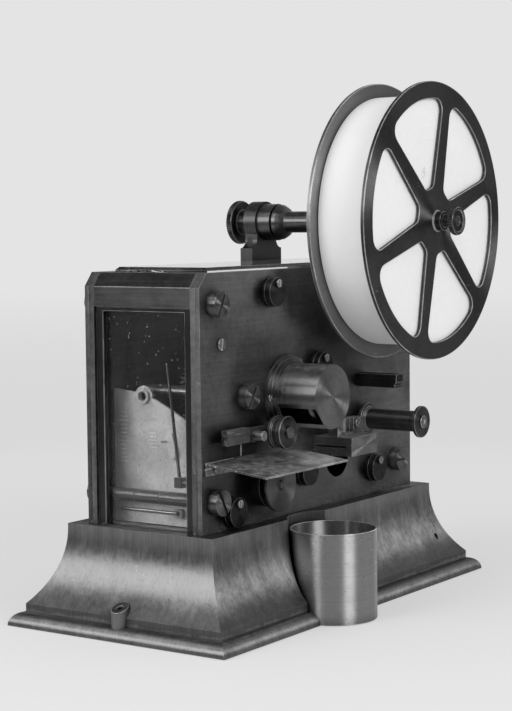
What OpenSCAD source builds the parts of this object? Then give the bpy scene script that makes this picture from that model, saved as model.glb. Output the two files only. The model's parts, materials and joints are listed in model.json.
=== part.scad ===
// Telegraph recorder: a clockwork tape instrument in a glazed metal case on a moulded base.
// Millimetres. +X runs along the front plate, +Y to the back, +Z up.
// The origin is the centre of the base's underside.

/* [Base] */
// Length of the base at its top
base_l = 226; // [220:1:246]
// Width of the base at its top
base_w = 96; // [94:1:110]
// Height of the base
base_h = 54.2; // [50:0.2:60]
// Radius of the hollow moulding
cove_r = 58; // [54:1:66]
// Depth below the top at which the hollow begins
cove_drop = 2.2; // [1:0.2:3]
// How far the step stands out from the base's top edge
step_out = 16.5; // [16:0.5:20]
// Height of the upright step
step_h = 4.8; // [4:0.2:6]
// Radius of the round at the foot
foot_r = 7.1; // [6:0.1:8]
// Thickness of the base's top
base_top_t = 7; // [5:0.5:9]
// Thickness of the plate that closes the base
base_plate_t = 3; // [2:0.5:4]

/* [Cup and its pocket] */
// Outer radius of the cup
cup_r = 23.8; // [20:0.1:23.9]
// Height of the cup
cup_h = 49; // [40:1:50]
// Thickness of the cup's wall
cup_wall = 1; // [0.8:0.1:2]
// Radius of the pocket in the moulding
pocket_r = 25.2; // [24.2:0.1:25.6]
// Place of the cup's pocket along the base
cup_x = -24.6; // [-30:0.2:-10]
// Distance of the pocket's axis in front of the base's top edge
cup_out = 17.2; // [16.4:0.2:19]

/* [Case] */
// Length of the case
case_l = 215.5; // [214:0.5:218]
// Width of the case over both plates
case_w = 75.6; // [74:0.2:80]
// Height of the case
case_h = 135; // [134:0.5:142]
// Thickness of the front and back plates
plate_t = 6; // [5:0.5:7]
// Thickness of the right end plate
end_t = 6; // [4:0.5:8]
// Length of the bevel on the case's top left edge
bevel_w = 6.1; // [4:0.1:7]
// Height of that bevel
bevel_h = 7.4; // [5:0.1:9]
// Depth of the rail over the side glass
rail_h = 18; // [14:0.5:22]
// Thickness of that rail
rail_t = 8.4; // [7.6:0.1:8.6]
// Width of the glazing bead
bead_w = 5; // [3:0.5:7]
// Thickness of the glazing bead
bead_t = 3; // [2:0.25:4]
// How far the bead lies behind the end of the case
bead_set = 1.5; // [1:0.25:2.5]
// Thickness of the side glass
side_glass_t = 2; // [1.5:0.25:3]
// Thickness of the top glass
top_glass_t = 2.8; // [2:0.2:4]
// Width of the bar behind the top glass
rear_bar_w = 12; // [10:0.5:20]
// Thickness of that bar
rear_bar_t = 8; // [5:0.5:10]
// How far the top glass lies on the bar
glass_lap = 2.7; // [1.5:0.1:4]
// Radius of the pillars between the plates
pillar_r = 3.6; // [3.2:0.1:4.5]

/* [Front plate fittings] */
// Radius of the large slotted screw heads
screw_head_r = 6.8; // [5:0.1:7]
// Height of those heads
screw_head_h = 5.4; // [3:0.1:6]
// Radius of the oil caps
cap_r = 7.9; // [6:0.1:8]
// Thickness of the oil caps
cap_t = 3.4; // [1.5:0.1:4]
// Height of the seat under each oil cap
cap_seat_h = 2; // [1:0.1:2.5]
// Outer radius of the liner in the winding hole
boss_r = 12.6; // [11:0.1:13]
// Radius of the drum cover
drum_r = 17.5; // [15:0.1:18]
// How far the drum cover stands out
drum_l = 29.5; // [24:0.5:32]
// Wall of the drum cover
drum_wall = 1.2; // [0.8:0.1:2]
// Radius of the drum cover's flange
drum_flange_r = 21.8; // [21:0.1:22.4]
// Length of the tape table
table_l = 78; // [60:1:90]
// Depth of the tape table
table_d = 38.8; // [30:0.2:42]
// Thickness of the table's sheet
table_t = 1; // [0.8:0.1:1.6]
// Fall of the table towards its front edge, in degrees
table_fall = 6.9; // [4:0.1:8]
// Width of the tape block
block_w = 26.6; // [22:0.2:28]
// Depth of the tape block
block_d = 25; // [21.5:0.5:27]
// Height of the tape block
block_h = 10.5; // [9:0.1:12]
// Width of the tape slot
slot_d = 20; // [14:0.5:20.5]
// Height of the tape slot
slot_h = 1.2; // [0.8:0.1:1.6]
// Length of the guide bar
guide_bar_l = 26.5; // [20:0.5:36]
// Side of the guide bar
guide_bar_s = 7.8; // [6:0.1:9]
// Length of the guide spool between its flanges' outer faces
spool_l = 37.5; // [30:0.5:40]
// Radius of the guide spool's flanges
spool_flange_r = 9.1; // [8:0.1:10.5]
// Radius of the guide spool's tube
spool_tube_r = 6; // [5:0.1:7]
// Radius of the pressure roller
roller_r = 8.8; // [7:0.1:9.2]
// Length of the pressure roller
roller_l = 8.6; // [5:0.1:9.5]
// Radius of the milled setting wheel
setting_r = 14.4; // [12.8:0.1:14.5]
// Number of milled teeth
setting_teeth = 84; // [60:1:110]
// Thickness of the setting wheel
setting_t = 2.4; // [1.8:0.1:4]

/* [Reel] */
// Radius of the reel's flanges
reel_r = 78.5; // [60:0.5:82]
// Thickness of the flanges
flange_t = 2.2; // [2:0.1:4]
// Width of the flanges' rims
rim_w = 9.7; // [7:0.1:12]
// Radius of the flanges' centres
flange_hub_r = 15; // [13:0.5:18]
// Number of spokes
spokes = 6; // [4:1:8]
// Spoke width at the centre
spoke_w_in = 11.5; // [9:0.1:12.5]
// Spoke width at the rim
spoke_w_out = 8.6; // [6:0.1:11]
// Width of the paper roll
paper_w = 31.8; // [24:0.1:34]
// Radius of the paper roll
paper_r = 70.6; // [50:0.1:74]
// Radius of the reel's core
reel_core_r = 14; // [12:0.5:18]
// Radius of the spindle in the reel
spindle_r = 4; // [3.5:0.1:5]
// Height of the spindle above the case
spindle_rise = 25; // [20:0.5:30]
// Place of the spindle along the case
spindle_x = 52.7; // [40:0.5:60]
// Thickness of the bracket
bracket_t = 8.5; // [7:0.5:10]
// Radius of the bracket's head
bracket_head_r = 12.4; // [11:0.1:14]
// Width of the bracket's foot
bracket_foot_w = 31; // [30:0.5:36]
// Radius of the rear knob
knob_r = 12.8; // [10:0.1:14]
// Radius of the thumb nut
nut_r = 7.8; // [7:0.1:11]

/* [Movement] */
// Module of the wheels
gear_m = 0.8; // [0.78:0.005:0.81]
// Teeth of the great wheel
great_n = 60; // [56:1:60]
// Radius of the spring barrel
barrel_r = 20; // [16:0.5:20.5]
// Radius of the arbors
arbor_r = 2; // [1.8:0.1:2.3]
// Radius of the pivots
pivot_r = 1.5; // [1.2:0.05:1.6]
// Radius of the magnet coils
coil_r = 10.5; // [8:0.1:11.5]
// Length of the magnet coils
coil_l = 25; // [22:0.5:25.5]
// Thickness of the scale plate
scale_t = 1.5; // [1:0.1:2]

/* [Fits] */
// Clearance of a turning fit, per side
fit = 0.05; // [0.03:0.005:0.08]
// Gap between pieces that pass without touching
gap = 0.3; // [0.25:0.05:0.4]

/* [Hidden] */
$fn = 64;
// Places and heights that follow from the driving sizes
case_z = base_h;
top_z = case_z + case_h;
face_y = -case_w / 2;
inner_y = case_w / 2 - plate_t;
half_l = case_l / 2;
step_top = foot_r + step_h;
cup_y = -base_w / 2 - cup_out;
// The cup stands a little off the middle of its pocket
cup_shift = [-0.8, -0.4];
cavity_x = base_l / 2 - 10;
cavity_y = base_w / 2 - 12;
ledge = 7;
plate_x = cavity_x + ledge;
plate_y = cavity_y + 2.2;
lug_x = base_l / 2 + step_out - 0.5;
lug_r = 4.6;
lug_z = 4;
lug_bore_r = 1.6;
key_in = 5.4;
base_screw_x = cavity_x + ledge / 2;
base_screw_y = 28;
base_screw_r = 1.5;

// Large screws and pillars: place on the plate and turn of the slot
pillar_spots = [
    [12.6 - half_l, top_z - 16.2, 63],
    [39.7 - half_l, case_z + 68.8, 58],
    [half_l - 18.5, case_z + 16.9, -5],
    [12 - half_l, case_z + 15.8, 118],
    [half_l - 18.5, top_z - 16.2, 40]
];
screw_shank_r = 2;
screw_depth = plate_t + 8;
small_head_r = 3.2;

// Wheel train: each wheel's teeth, and the places of the arbors
k_pinion_n = 30;
k_wheel_n = 48;
t_pinion_n = 24;
t_wheel_n = 40;
d_pinion_n = 20;
d_wheel_n = 50;
e_pinion_n = 35;
function cd(a, b) = gear_m * (a + b) / 2;
barrel_x = 23.5;
barrel_z = case_z + 26.8;
k_dir = 187.8;
k_x = barrel_x + cd(great_n, k_pinion_n) * cos(k_dir);
k_z = barrel_z + cd(great_n, k_pinion_n) * sin(k_dir);
drum_x = -27.6;
drum_z = case_z + 66.3;
// The third arbor lies where its distances from both neighbours meet
kd_len = norm([drum_x - k_x, drum_z - k_z]);
kd_dir = atan2(drum_z - k_z, drum_x - k_x);
kt_len = cd(k_wheel_n, t_pinion_n);
td_len = cd(t_wheel_n, d_pinion_n);
kt_dir = kd_dir + acos((kt_len * kt_len + kd_len * kd_len - td_len * td_len) / (2 * kt_len * kd_len));
t_x = k_x + kt_len * cos(kt_dir);
t_z = k_z + kt_len * sin(kt_dir);
td_dir = atan2(drum_z - t_z, drum_x - t_x);
e_dir = 23.24;
e_x = drum_x + cd(d_wheel_n, e_pinion_n) * cos(e_dir);
e_z = drum_z + cd(d_wheel_n, e_pinion_n) * sin(e_dir);
// Turn of each wheel that puts its teeth into the gaps of the wheel before it
function mesh_turn(dir, n1, turn1, n2) = dir + 180 - (0.5 - (dir - turn1) * n1 / 360) * 360 / n2;
great_turn = 0;
k_turn = mesh_turn(k_dir, great_n, great_turn, k_pinion_n);
t_turn = mesh_turn(kt_dir, k_wheel_n, k_turn, t_pinion_n);
d_turn = mesh_turn(td_dir, t_wheel_n, t_turn, d_pinion_n);
e_turn = mesh_turn(e_dir, d_wheel_n, d_turn, e_pinion_n);
great_y = face_y + 10.4;
great_t = 3.6;
barrel_y = great_y + great_t + 1.6;
barrel_l = 2 * inner_y - 39.6;
wheel_t = 2.8;
k_wheel_y = barrel_y + barrel_l + 3.2;
t_wheel_y = k_wheel_y + wheel_t + 4.2;
d_wheel_y = t_wheel_y + wheel_t + 5.2;
winding_r = 4;
winding_depth = 4.7;
winding_mouth_r = boss_r - 0.6;
winding_floor_r = 9.9;

// Oil caps: centre on the plate, one for each named cap
cap_screw_dz = 4.7;
cap_seat_r = cap_r + 0.3;
upper_cap = [-43.7, top_z - 11.9];
drum_cap = [e_x, e_z];
centre_cap = [k_x, k_z];
right_cap = [62.2, case_z + 15.1];
left_cap = [-82, case_z + 9];
cap_spots = [upper_cap, drum_cap, centre_cap, right_cap, left_cap];
oil_hole_r = 1.5;

// Tape path
table_x = -105;
table_z = case_z + 37.4;
tab_w = 25;
tab_h = 7;
block_x = -1;
block_z = case_z + 30.2;
gate_y0 = 10;
gate_y1 = 16;
gate_h = 9.2;
notch_x0 = 8.6;
notch_x1 = 16.8;
guide_bar_x = 49.6;
guide_bar_z = top_z - 66.6;
spool_x = 51;
spool_drop = 9.9;
spool_z = guide_bar_z - guide_bar_s / 2 - spool_flange_r - spool_drop;
spool_stand = 3;
spool_bore_r = 3;
arm_x = -68.5;
arm_z = case_z + 48.3;
arm_stand = 3.4;
arm_t = 2.6;
arm_bore_r = 2.3;
arm_stud_r = 2.6;
arm_boss_r = 3.6;
arm_reach = 19.8;
tail_reach = 26.2;
roller_x = arm_x + arm_reach;
roller_bore_r = 1.8;
setting_x = -51;
setting_z = case_z + 20.2;
setting_stand = 9;
setting_shaft_r = 2.5;

// Reel and bracket
reel_x = spindle_x;
reel_z = top_z + spindle_rise;
bracket_y0 = case_w / 2 - bracket_t;
bracket_foot_h = 9.6;
bracket_cove_r = 5.3;
bracket_screw_dx = 12.2;
bracket_screw_in = 3.4;
bracket_screw_head_r = 2.5;
reel_back_y = face_y - 12.2;
reel_front_y = reel_back_y - 2 * flange_t - paper_w;
back_hub_t = 2.4;
hub_t = 2.2;
hub_cone_h = 1.4;
hub_cone_r = 7;
hub_ring_r = 5.9;
nut_gap = 9.6;
nut_t = 3.3;
nut_collar_r = 5.5;
nut_collar_l = 3.4;
nut_neck_r = 3.6;
nose_r = 2.4;
spoke_turn = 18;
knob_y = case_w / 2 + 8.5;
knob_t = 4;
brake_y = case_w / 2 + gap;

// Electromagnet
magnet_x = -79;
magnet_z = case_z + 37.8;
coil_y = 14.5;
iron_r = 4;
yoke_t = 4;
armature_x = left_cap[0];
armature_z = left_cap[1];
armature_gap = 1;
armature_t = 3;
armature_h = 40;

// Scale plate behind the side glass
scale_x = -90;
scale_low = case_z + gap;
scale_dial_y = 6.2;
scale_dial_z = case_z + 44.6;
rod_x = -97;
rod_y = -16.4;
rod_z = case_z + 25;
rod_l = 61;
rod_lean = 7;
hand_y = -3.4;
hand_z = case_z + 45.4;
post_x = [-62, -40];
post_z = case_z + 18;

// Cylinder along Y from y0 to y1
module ycyl(x, z, y0, y1, r) {
    translate([x, y0, z]) rotate([-90, 0, 0]) cylinder(h = y1 - y0, r = r);
}

// Cone along Y, of radius r0 at y0 and r1 at y1
module ycone(x, z, y0, y1, r0, r1) {
    translate([x, y0, z]) rotate([-90, 0, 0]) cylinder(h = y1 - y0, r1 = r0, r2 = r1);
}

// Outline in X and Z carried along Y from y0 to y1
module xz(y0, y1) {
    translate([0, y1, 0]) rotate([90, 0, 0]) linear_extrude(y1 - y0) children();
}

// Box from one corner to the other
module box(a, b) {
    translate(a) cube(b - a);
}

// Ring along Y
module yring(x, z, y0, y1, r, hole) {
    difference() {
        ycyl(x, z, y0, y1, r);
        ycyl(x, z, y0 - 1, y1 + 1, hole);
    }
}

// Slotted cheese head and shank along Y; dir is +1 where the head looks to -Y
module yscrew(x, z, y, head_r, head_h, shank_r, shank_l, turn, dir) {
    y_head = min(y, y - dir * head_h);
    y_shank = min(y, y + dir * shank_l);
    slot_w = head_r * 0.24;
    slot_y = dir > 0 ? y_head - 1 : y_head + head_h * 0.6;
    union() {
        difference() {
            ycyl(x, z, y_head, y_head + head_h, head_r);
            translate([x, slot_y, z]) rotate([0, -turn, 0])
                translate([-head_r * 1.5, 0, -slot_w / 2]) cube([head_r * 3, head_h * 0.4 + 1, slot_w]);
        }
        ycyl(x, z, y_shank - (dir < 0 ? 0 : 0.5), y_shank + shank_l + (dir < 0 ? 0.5 : 0), shank_r);
    }
}

// Involute tooth outline
function inv(a) = tan(a) - a * PI / 180;
function tooth_half(r, n, rb) =
    90 / n - gear_backlash / (gear_m * n) * 180 / PI
    + (inv(20) - (r > rb ? inv(acos(rb / r)) : 0)) * 180 / PI;
gear_backlash = 0.06;
function gear_pts(n) =
    let (rp = gear_m * n / 2, rb = rp * cos(20), rr = rp - 1.25 * gear_m, ra = rp + 0.95 * gear_m,
         r0 = max(rb, rr + 0.01), rs = [rr, r0, r0 + (ra - r0) * 0.45, ra])
    [for (k = [0 : n - 1]) for (s = [-1, 1]) for (j = [0 : 3])
        let (r = s < 0 ? rs[j] : rs[3 - j], a = k * 360 / n + s * tooth_half(max(r, r0), n, rb))
        [r * cos(a), r * sin(a)]];

module gear(x, z, y0, y1, n, turn) {
    xz(y0, y1) translate([x, z]) rotate(turn) polygon(gear_pts(n));
}

// Arbor between the plates with a pivot at each end
module arbor(x, z, r) {
    reach = inner_y + plate_t - 0.6;
    ycyl(x, z, -inner_y + gap, inner_y - gap, r);
    ycyl(x, z, -reach, reach, pivot_r);
}

module plate_outline() {
    polygon([[-half_l, case_z], [half_l, case_z], [half_l, top_z], [bevel_w - half_l, top_z],
             [-half_l, top_z - bevel_h]]);
}

// Moulding of the base: half profile for a top edge at distance a from the middle
module base_half_profile(a) {
    difference() {
        union() {
            square([a + step_out, step_top]);
            square([a + step_out - 0.4, base_h]);
            intersection() {
                translate([a + step_out, 0]) circle(r = foot_r);
                square([a + step_out + foot_r, foot_r]);
            }
        }
        translate([a + cove_r, base_h - cove_drop]) circle(r = cove_r, $fn = 128);
        translate([a, base_h - cove_drop]) square([step_out + 1, cove_drop + 1]);
    }
}

module base_profile(a) {
    base_half_profile(a);
    mirror([1, 0]) base_half_profile(a);
}

module base_body() {
    span = base_l + 2 * (step_out + foot_r);
    intersection() {
        xz(-span / 2, span / 2) base_profile(base_l / 2);
        rotate([0, 0, 90]) xz(-span / 2, span / 2) base_profile(base_w / 2);
    }
}

module base_moulding() {
    color("dimgray") difference() {
        base_body();
        box([-cavity_x, -cavity_y, -1], [cavity_x, cavity_y, base_h - base_top_t]);
        box([-plate_x, -plate_y, -1], [plate_x, plate_y, base_plate_t]);
        box([-half_l + 16, -inner_y + 7, 1], [half_l - 16, inner_y - 7, base_h + 1]);
        translate([cup_x, cup_y, -1]) cylinder(h = base_h + 2, r = pocket_r, $fn = 96);
        for (s = [-1, 1]) translate([s * lug_x, 0, 0]) {
            translate([0, 0, lug_z]) cylinder(h = base_h, r = lug_r + fit);
            translate([0, 0, -1]) cylinder(h = lug_z + 2, r = lug_bore_r + 0.3);
        }
        for (sx = [-1, 1], sy = [-1, 1])
            translate([sx * base_screw_x, sy * base_screw_y, 0]) cylinder(h = 12, r = base_screw_r + fit);
        ycyl(base_l / 2 - key_in, base_h * 0.42, -base_w / 2 - step_out, -base_w / 2 + 1, 1.8);
    }
}

module base_plate() {
    color("darkgray") difference() {
        box([gap / 2 - plate_x, gap / 2 - plate_y, 0], [plate_x - gap / 2, plate_y - gap / 2, base_plate_t]);
        for (sx = [-1, 1], sy = [-1, 1]) translate([sx * base_screw_x, sy * base_screw_y, -1]) {
            cylinder(h = base_plate_t + 2, r = base_screw_r + fit);
            cylinder(h = 2.6, r = 2.9);
        }
    }
}

module base_plate_screws() {
    color("silver") for (sx = [-1, 1], sy = [-1, 1]) translate([sx * base_screw_x, sy * base_screw_y, 0.2]) {
        difference() {
            cylinder(h = 1.4, r = 2.8);
            translate([-4, -0.3, -1]) cube([8, 0.6, 1.5]);
        }
        translate([0, 0, 1]) cylinder(h = 10, r = base_screw_r);
    }
}

module hold_down_lugs() {
    color("gray") for (s = [-1, 1]) translate([s * lug_x, 0, lug_z]) difference() {
        cylinder(h = 14.4, r = lug_r);
        translate([s * (lug_r + 1), 0, 10]) rotate([0, s * 24, 0]) translate([-20, -10, 0]) cube([40, 20, 20]);
        translate([0, 0, -1]) cylinder(h = 20, r = lug_bore_r);
    }
}

module pivot_holes(y0, y1) {
    for (p = [[k_x, k_z], [t_x, t_z], [e_x, e_z], [armature_x, armature_z]])
        ycyl(p[0], p[1], y0, y1, pivot_r + fit);
}

module front_plate() {
    y0 = face_y;
    y1 = face_y + plate_t;
    color("dimgray") difference() {
        xz(y0, y1) plate_outline();
        for (p = pillar_spots) ycyl(p[0], p[1], y0 - 1, y1 + 1, screw_shank_r + fit);
        pivot_holes(y0 - 1, y1 + 1);
        for (p = [upper_cap, right_cap]) ycyl(p[0], p[1], y0 - 1, y1 - 1.5, oil_hole_r);
        for (p = cap_spots)
            ycyl(p[0], p[1] + cap_screw_dz, y0 - 1, y0 + 4, 1.1 + fit);
        ycyl(drum_x, drum_z, y0 - 1, y1 + 1, 3 + fit);
        for (a = drum_screw_angles) rotate_about(drum_x, drum_z, a) ycyl(drum_x + drum_screw_pcr, drum_z,
            y0 - 1, y0 + 4, 1 + fit);
        ycyl(barrel_x, barrel_z, y0 - 1, y1 + 1, boss_r + fit);
        ycyl(setting_x, setting_z, y0 - 1, y1 + 1, setting_shaft_r + fit);
        ycyl(rod_x, rod_z, y1 - 4.4, y1 + 1, 1.2 + fit);
        ycyl(spool_x, spool_z, y0 - 1, y0 + 4, 2.5 + fit);
        ycyl(arm_x, arm_z, y0 - 1, y0 + 4, 2 + fit);
        for (p = small_screw_spots) ycyl(p[0], p[1], y0 - 1, y0 + 5, 1.2 + fit);
        ycyl(guide_bar_x, guide_bar_z, y0 - 1, y0 + 4, 2 + fit);
        for (p = block_screw_spots) ycyl(p[0], p[1], y0 - 1, y1 + 1, 1.5 + fit);
    }
}

module rotate_about(x, z, a) {
    translate([x, 0, z]) rotate([0, -a, 0]) translate([-x, 0, -z]) children();
}

drum_screw_pcr = 19.7;
drum_screw_angles = [180, 60, -60];
small_screw_spots = [[18.4 - half_l, case_z + 97.6], [table_x + 9, table_z - 3.9]];
block_screw_z = block_z + block_h * 0.79;
block_screw_spots = [[block_x + 4, block_screw_z], [block_x + 13.4, block_screw_z]];

module back_plate() {
    y0 = inner_y;
    y1 = inner_y + plate_t;
    color("dimgray") difference() {
        xz(y0, y1) plate_outline();
        for (p = pillar_spots) ycyl(p[0], p[1], y0 - 1, y1 + 1, screw_shank_r + fit);
        pivot_holes(y0 - 1, y1 + 1);
        ycyl(drum_x, drum_z, y0 - 1, y1 + 1, pivot_r + fit);
        ycyl(barrel_x, barrel_z, y0 - 1, y1 + 1, winding_r + fit);
        for (x = post_x) ycyl(x, post_z, y0 - 1, y1 + 1, 3.4 + fit);
        bracket_holes(top_z - 12, top_z + 1, 1.5 + fit);
    }
}

module bracket_holes(z0, z1, r) {
    for (s = [-1, 1]) translate([reel_x + s * bracket_screw_dx, case_w / 2 - bracket_screw_in, z0])
        cylinder(h = z1 - z0, r = r);
}

module left_end_rail() {
    color("dimgray") xz(-inner_y, inner_y) polygon([[-half_l, top_z - rail_h],
        [rail_t - half_l, top_z - rail_h], [rail_t - half_l, top_z], [bevel_w - half_l, top_z],
        [-half_l, top_z - bevel_h]]);
}

module glazing_bead() {
    x0 = bead_set - half_l;
    color("gray") difference() {
        box([x0, -inner_y, case_z], [x0 + bead_t, inner_y, top_z - rail_h]);
        box([x0 - 1, bead_w - inner_y, case_z - 1],
            [x0 + bead_t + 1, inner_y - bead_w, top_z - rail_h - bead_w / 2]);
    }
}

module side_glass() {
    x0 = bead_set + bead_t - half_l;
    color("lightblue", 0.4)
        box([x0, 0.3 - inner_y, case_z], [x0 + side_glass_t, inner_y - 0.3, top_z - rail_h]);
}

module right_end_plate() {
    color("dimgray") box([half_l - end_t, -inner_y, case_z], [half_l, inner_y, top_z]);
}

module top_rear_bar() {
    color("dimgray") box([rail_t - half_l, inner_y - rear_bar_w, top_z - rear_bar_t],
        [half_l - end_t, inner_y, top_z]);
}

glass_x0 = bevel_w + 1 - half_l;
glass_x1 = half_l - 0.6;
glass_y1 = inner_y - rear_bar_w + glass_lap;

module top_glass() {
    b = top_glass_t * 0.55;
    color("lightblue", 0.4) intersection() {
        xz(face_y, glass_y1) polygon([[glass_x0, top_z], [glass_x1, top_z], [glass_x1, top_z + top_glass_t - b],
            [glass_x1 - b, top_z + top_glass_t], [glass_x0 + b, top_z + top_glass_t],
            [glass_x0, top_z + top_glass_t - b]]);
        rotate([0, 0, 90]) xz(-half_l, half_l) polygon([[face_y, top_z], [glass_y1, top_z],
            [glass_y1, top_z + top_glass_t - b], [glass_y1 - b, top_z + top_glass_t],
            [face_y + b, top_z + top_glass_t], [face_y, top_z + top_glass_t - b]]);
    }
}

// Turned pillar with two ring grooves and a tapped hole at each end
module case_pillars() {
    color("silver") for (p = pillar_spots) difference() {
        ycyl(p[0], p[1], -inner_y, inner_y, pillar_r);
        for (y = [-4.5, 12.2]) yring(p[0], p[1], y, y + 0.9, pillar_r + 1, pillar_r - 0.5);
        for (s = [-1, 1])
            ycyl(p[0], p[1], s * (inner_y - 4.5) - 5, s * (inner_y - 4.5) + 5, screw_shank_r + fit);
    }
}

module front_pillar_screws() {
    color("gray") for (p = pillar_spots)
        yscrew(p[0], p[1], face_y, screw_head_r, screw_head_h, screw_shank_r, screw_depth, p[2], 1);
}

module back_pillar_screws() {
    color("gray") for (p = pillar_spots)
        yscrew(p[0], p[1], -face_y, screw_head_r, screw_head_h, screw_shank_r, screw_depth, p[2], -1);
}

module small_plate_screws() {
    color("gray") {
        yscrew(small_screw_spots[0][0], small_screw_spots[0][1], face_y, small_head_r, 1, 1.2, 4.5, 80, 1);
        yscrew(small_screw_spots[1][0], small_screw_spots[1][1], face_y - table_t, 2.3, 1.2, 1.2, 4.5, 30, 1);
        yscrew(gate_screw_x, gate_screw_z, face_y - gate_y1, 2.6, 1.6, 1.2, 3.6, 35, 1);
        for (p = block_screw_spots) yscrew(p[0], p[1], -inner_y, 2.6, 1.6, 1.5, plate_t + 8, 20, -1);
    }
}

gate_screw_x = block_x + 19.8;
gate_screw_z = block_z + block_h + 6.2;

module oil_cap_seats() {
    color("dimgray") for (p = cap_spots) difference() {
        ycyl(p[0], p[1], face_y - cap_seat_h, face_y, cap_seat_r);
        ycyl(p[0], p[1], face_y - cap_seat_h - 1, face_y + 1, oil_hole_r + 0.4);
        ycyl(p[0], p[1] + cap_screw_dz, face_y - cap_seat_h - 1, face_y + 1, 1.1 + fit);
    }
}

module oil_cap_screws() {
    y = face_y - cap_seat_h - cap_t - fit * 2;
    color("silver") for (p = cap_spots)
        yscrew(p[0], p[1] + cap_screw_dz, y, 2.15, 1.3, 1.1, cap_t + cap_seat_h + 3.5, 75, 1);
}

module oil_cap(p) {
    y1 = face_y - cap_seat_h - fit;
    color("dimgray") difference() {
        ycyl(p[0], p[1], y1 - cap_t, y1, cap_r);
        ycyl(p[0], p[1] + cap_screw_dz, y1 - cap_t - 1, y1 + 1, 1.1 + fit);
    }
}

module oil_cap_upper() { oil_cap(upper_cap); }
module oil_cap_drum() { oil_cap(drum_cap); }
module oil_cap_centre() { oil_cap(centre_cap); }
module oil_cap_right() { oil_cap(right_cap); }
module oil_cap_left() { oil_cap(left_cap); }

// Liner sunk flush in the front plate, with a tapering mouth for the key
module winding_boss() {
    taper = (winding_mouth_r - winding_floor_r) / winding_depth;
    color("dimgray") difference() {
        ycyl(barrel_x, barrel_z, face_y, face_y + plate_t, boss_r);
        ycone(barrel_x, barrel_z, face_y - 1, face_y + winding_depth, winding_mouth_r + taper, winding_floor_r);
        ycyl(barrel_x, barrel_z, face_y, face_y + plate_t + 1, winding_r + fit);
    }
}

// Spun cover: a cup with a stepped flange, cut away low on its left for the tape
module drum_cover() {
    y_end = face_y - drum_l;
    color("silver") difference() {
        union() {
            ycyl(drum_x, drum_z, face_y - 1.6, face_y, drum_flange_r);
            ycyl(drum_x, drum_z, face_y - 3.2, face_y, drum_flange_r - 1.3);
            ycyl(drum_x, drum_z, face_y - 4.6, face_y, drum_r + 1.3);
            ycyl(drum_x, drum_z, y_end, face_y, drum_r);
        }
        ycyl(drum_x, drum_z, y_end + drum_wall, face_y + 1, drum_r - drum_wall);
        rotate_about(drum_x, drum_z, 222) box([drum_x + drum_r - 2.4, y_end - 1, drum_z - drum_r],
            [drum_x + drum_r + 4, face_y - 5.2, drum_z + drum_r]);
        for (a = drum_screw_angles) rotate_about(drum_x, drum_z, a) {
            ycyl(drum_x + drum_screw_pcr, drum_z, face_y - 6, face_y + 1, 1 + fit);
            ycyl(drum_x + drum_screw_pcr, drum_z, face_y - 6, face_y - 1.6, 1.9);
        }
    }
}

module drum_cover_screws() {
    color("silver") for (a = drum_screw_angles) rotate_about(drum_x, drum_z, a)
        yscrew(drum_x + drum_screw_pcr, drum_z, face_y - 1.6, 1.8, 1.1, 1, 4.6, 60, 1);
}

// Sheet table with its fixing tab; the back right corner is cut away beside the roller
module tape_table() {
    color("tan") difference() {
        union() {
            translate([table_x, face_y, table_z]) rotate([table_fall, 0, 0])
                translate([0, -table_d, -table_t]) linear_extrude(table_t) polygon([[0, 0], [table_l, 0],
                [table_l, table_d - 13.2], [table_l - 3.1, table_d - 7.8], [table_l - 11.3, table_d - 5.4],
                [table_l - 21.6, table_d - 3.2], [table_l - 33, table_d], [0, table_d]]);
            box([table_x, face_y - table_t, table_z - tab_h], [table_x + tab_w, face_y, table_z]);
        }
        ycyl(small_screw_spots[1][0], small_screw_spots[1][1], face_y - 5, face_y + 1, 1.2 + fit);
        box([table_x - 1, face_y, table_z - 20], [table_x + table_l, face_y + 5, table_z + 5]);
    }
}

module tape_block() {
    y0 = face_y - block_d;
    slot_z = block_z + block_h * 0.42;
    color("gray") difference() {
        box([block_x, y0, block_z], [block_x + block_w, face_y, block_z + block_h]);
        box([block_x - 1, face_y - 1 - slot_d, slot_z], [block_x + block_w + 1, face_y - 1, slot_z + slot_h]);
        for (p = block_screw_spots) ycyl(p[0], p[1], face_y - 9, face_y + 1, 1.5 + fit);
    }
}

// Upright gate on the tape block, notched in front beside its screw
module tape_gate() {
    z0 = block_z + block_h;
    color("gray") difference() {
        box([block_x, face_y - gate_y1, z0], [block_x + block_w, face_y - gate_y0, z0 + gate_h]);
        box([block_x + notch_x0, face_y - gate_y1 - 1, z0 + 1.2],
            [block_x + notch_x1, face_y - gate_y1 + 3, z0 + gate_h + 1]);
        ycyl(gate_screw_x, gate_screw_z, face_y - gate_y1 - 1, face_y, 1.2 + fit);
    }
}

module guide_bar() {
    s = guide_bar_s / 2;
    y0 = face_y - guide_bar_l;
    color("dimgray") {
        difference() {
            box([guide_bar_x - s, y0, guide_bar_z - s], [guide_bar_x + s, face_y, guide_bar_z + s]);
            translate([guide_bar_x, y0, guide_bar_z - s]) rotate([-52, 0, 0]) translate([-20, -20, -20])
                cube([40, 20, 22]);
        }
        ycyl(guide_bar_x, guide_bar_z, face_y - 1, face_y + 3.6, 2);
    }
}

module guide_spool_stud() {
    y_end = face_y - spool_stand - spool_l;
    color("silver") {
        ycyl(spool_x, spool_z, y_end - 0.8, face_y, spool_bore_r - fit);
        ycyl(spool_x, spool_z, face_y - spool_stand + gap, face_y, spool_tube_r - 1);
        ycyl(spool_x, spool_z, face_y - 1, face_y + 3.6, 2.5);
        yring(spool_x, spool_z, y_end - gap - 0.8, y_end - gap, spool_bore_r + 0.6, 1.2);
    }
}

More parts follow.
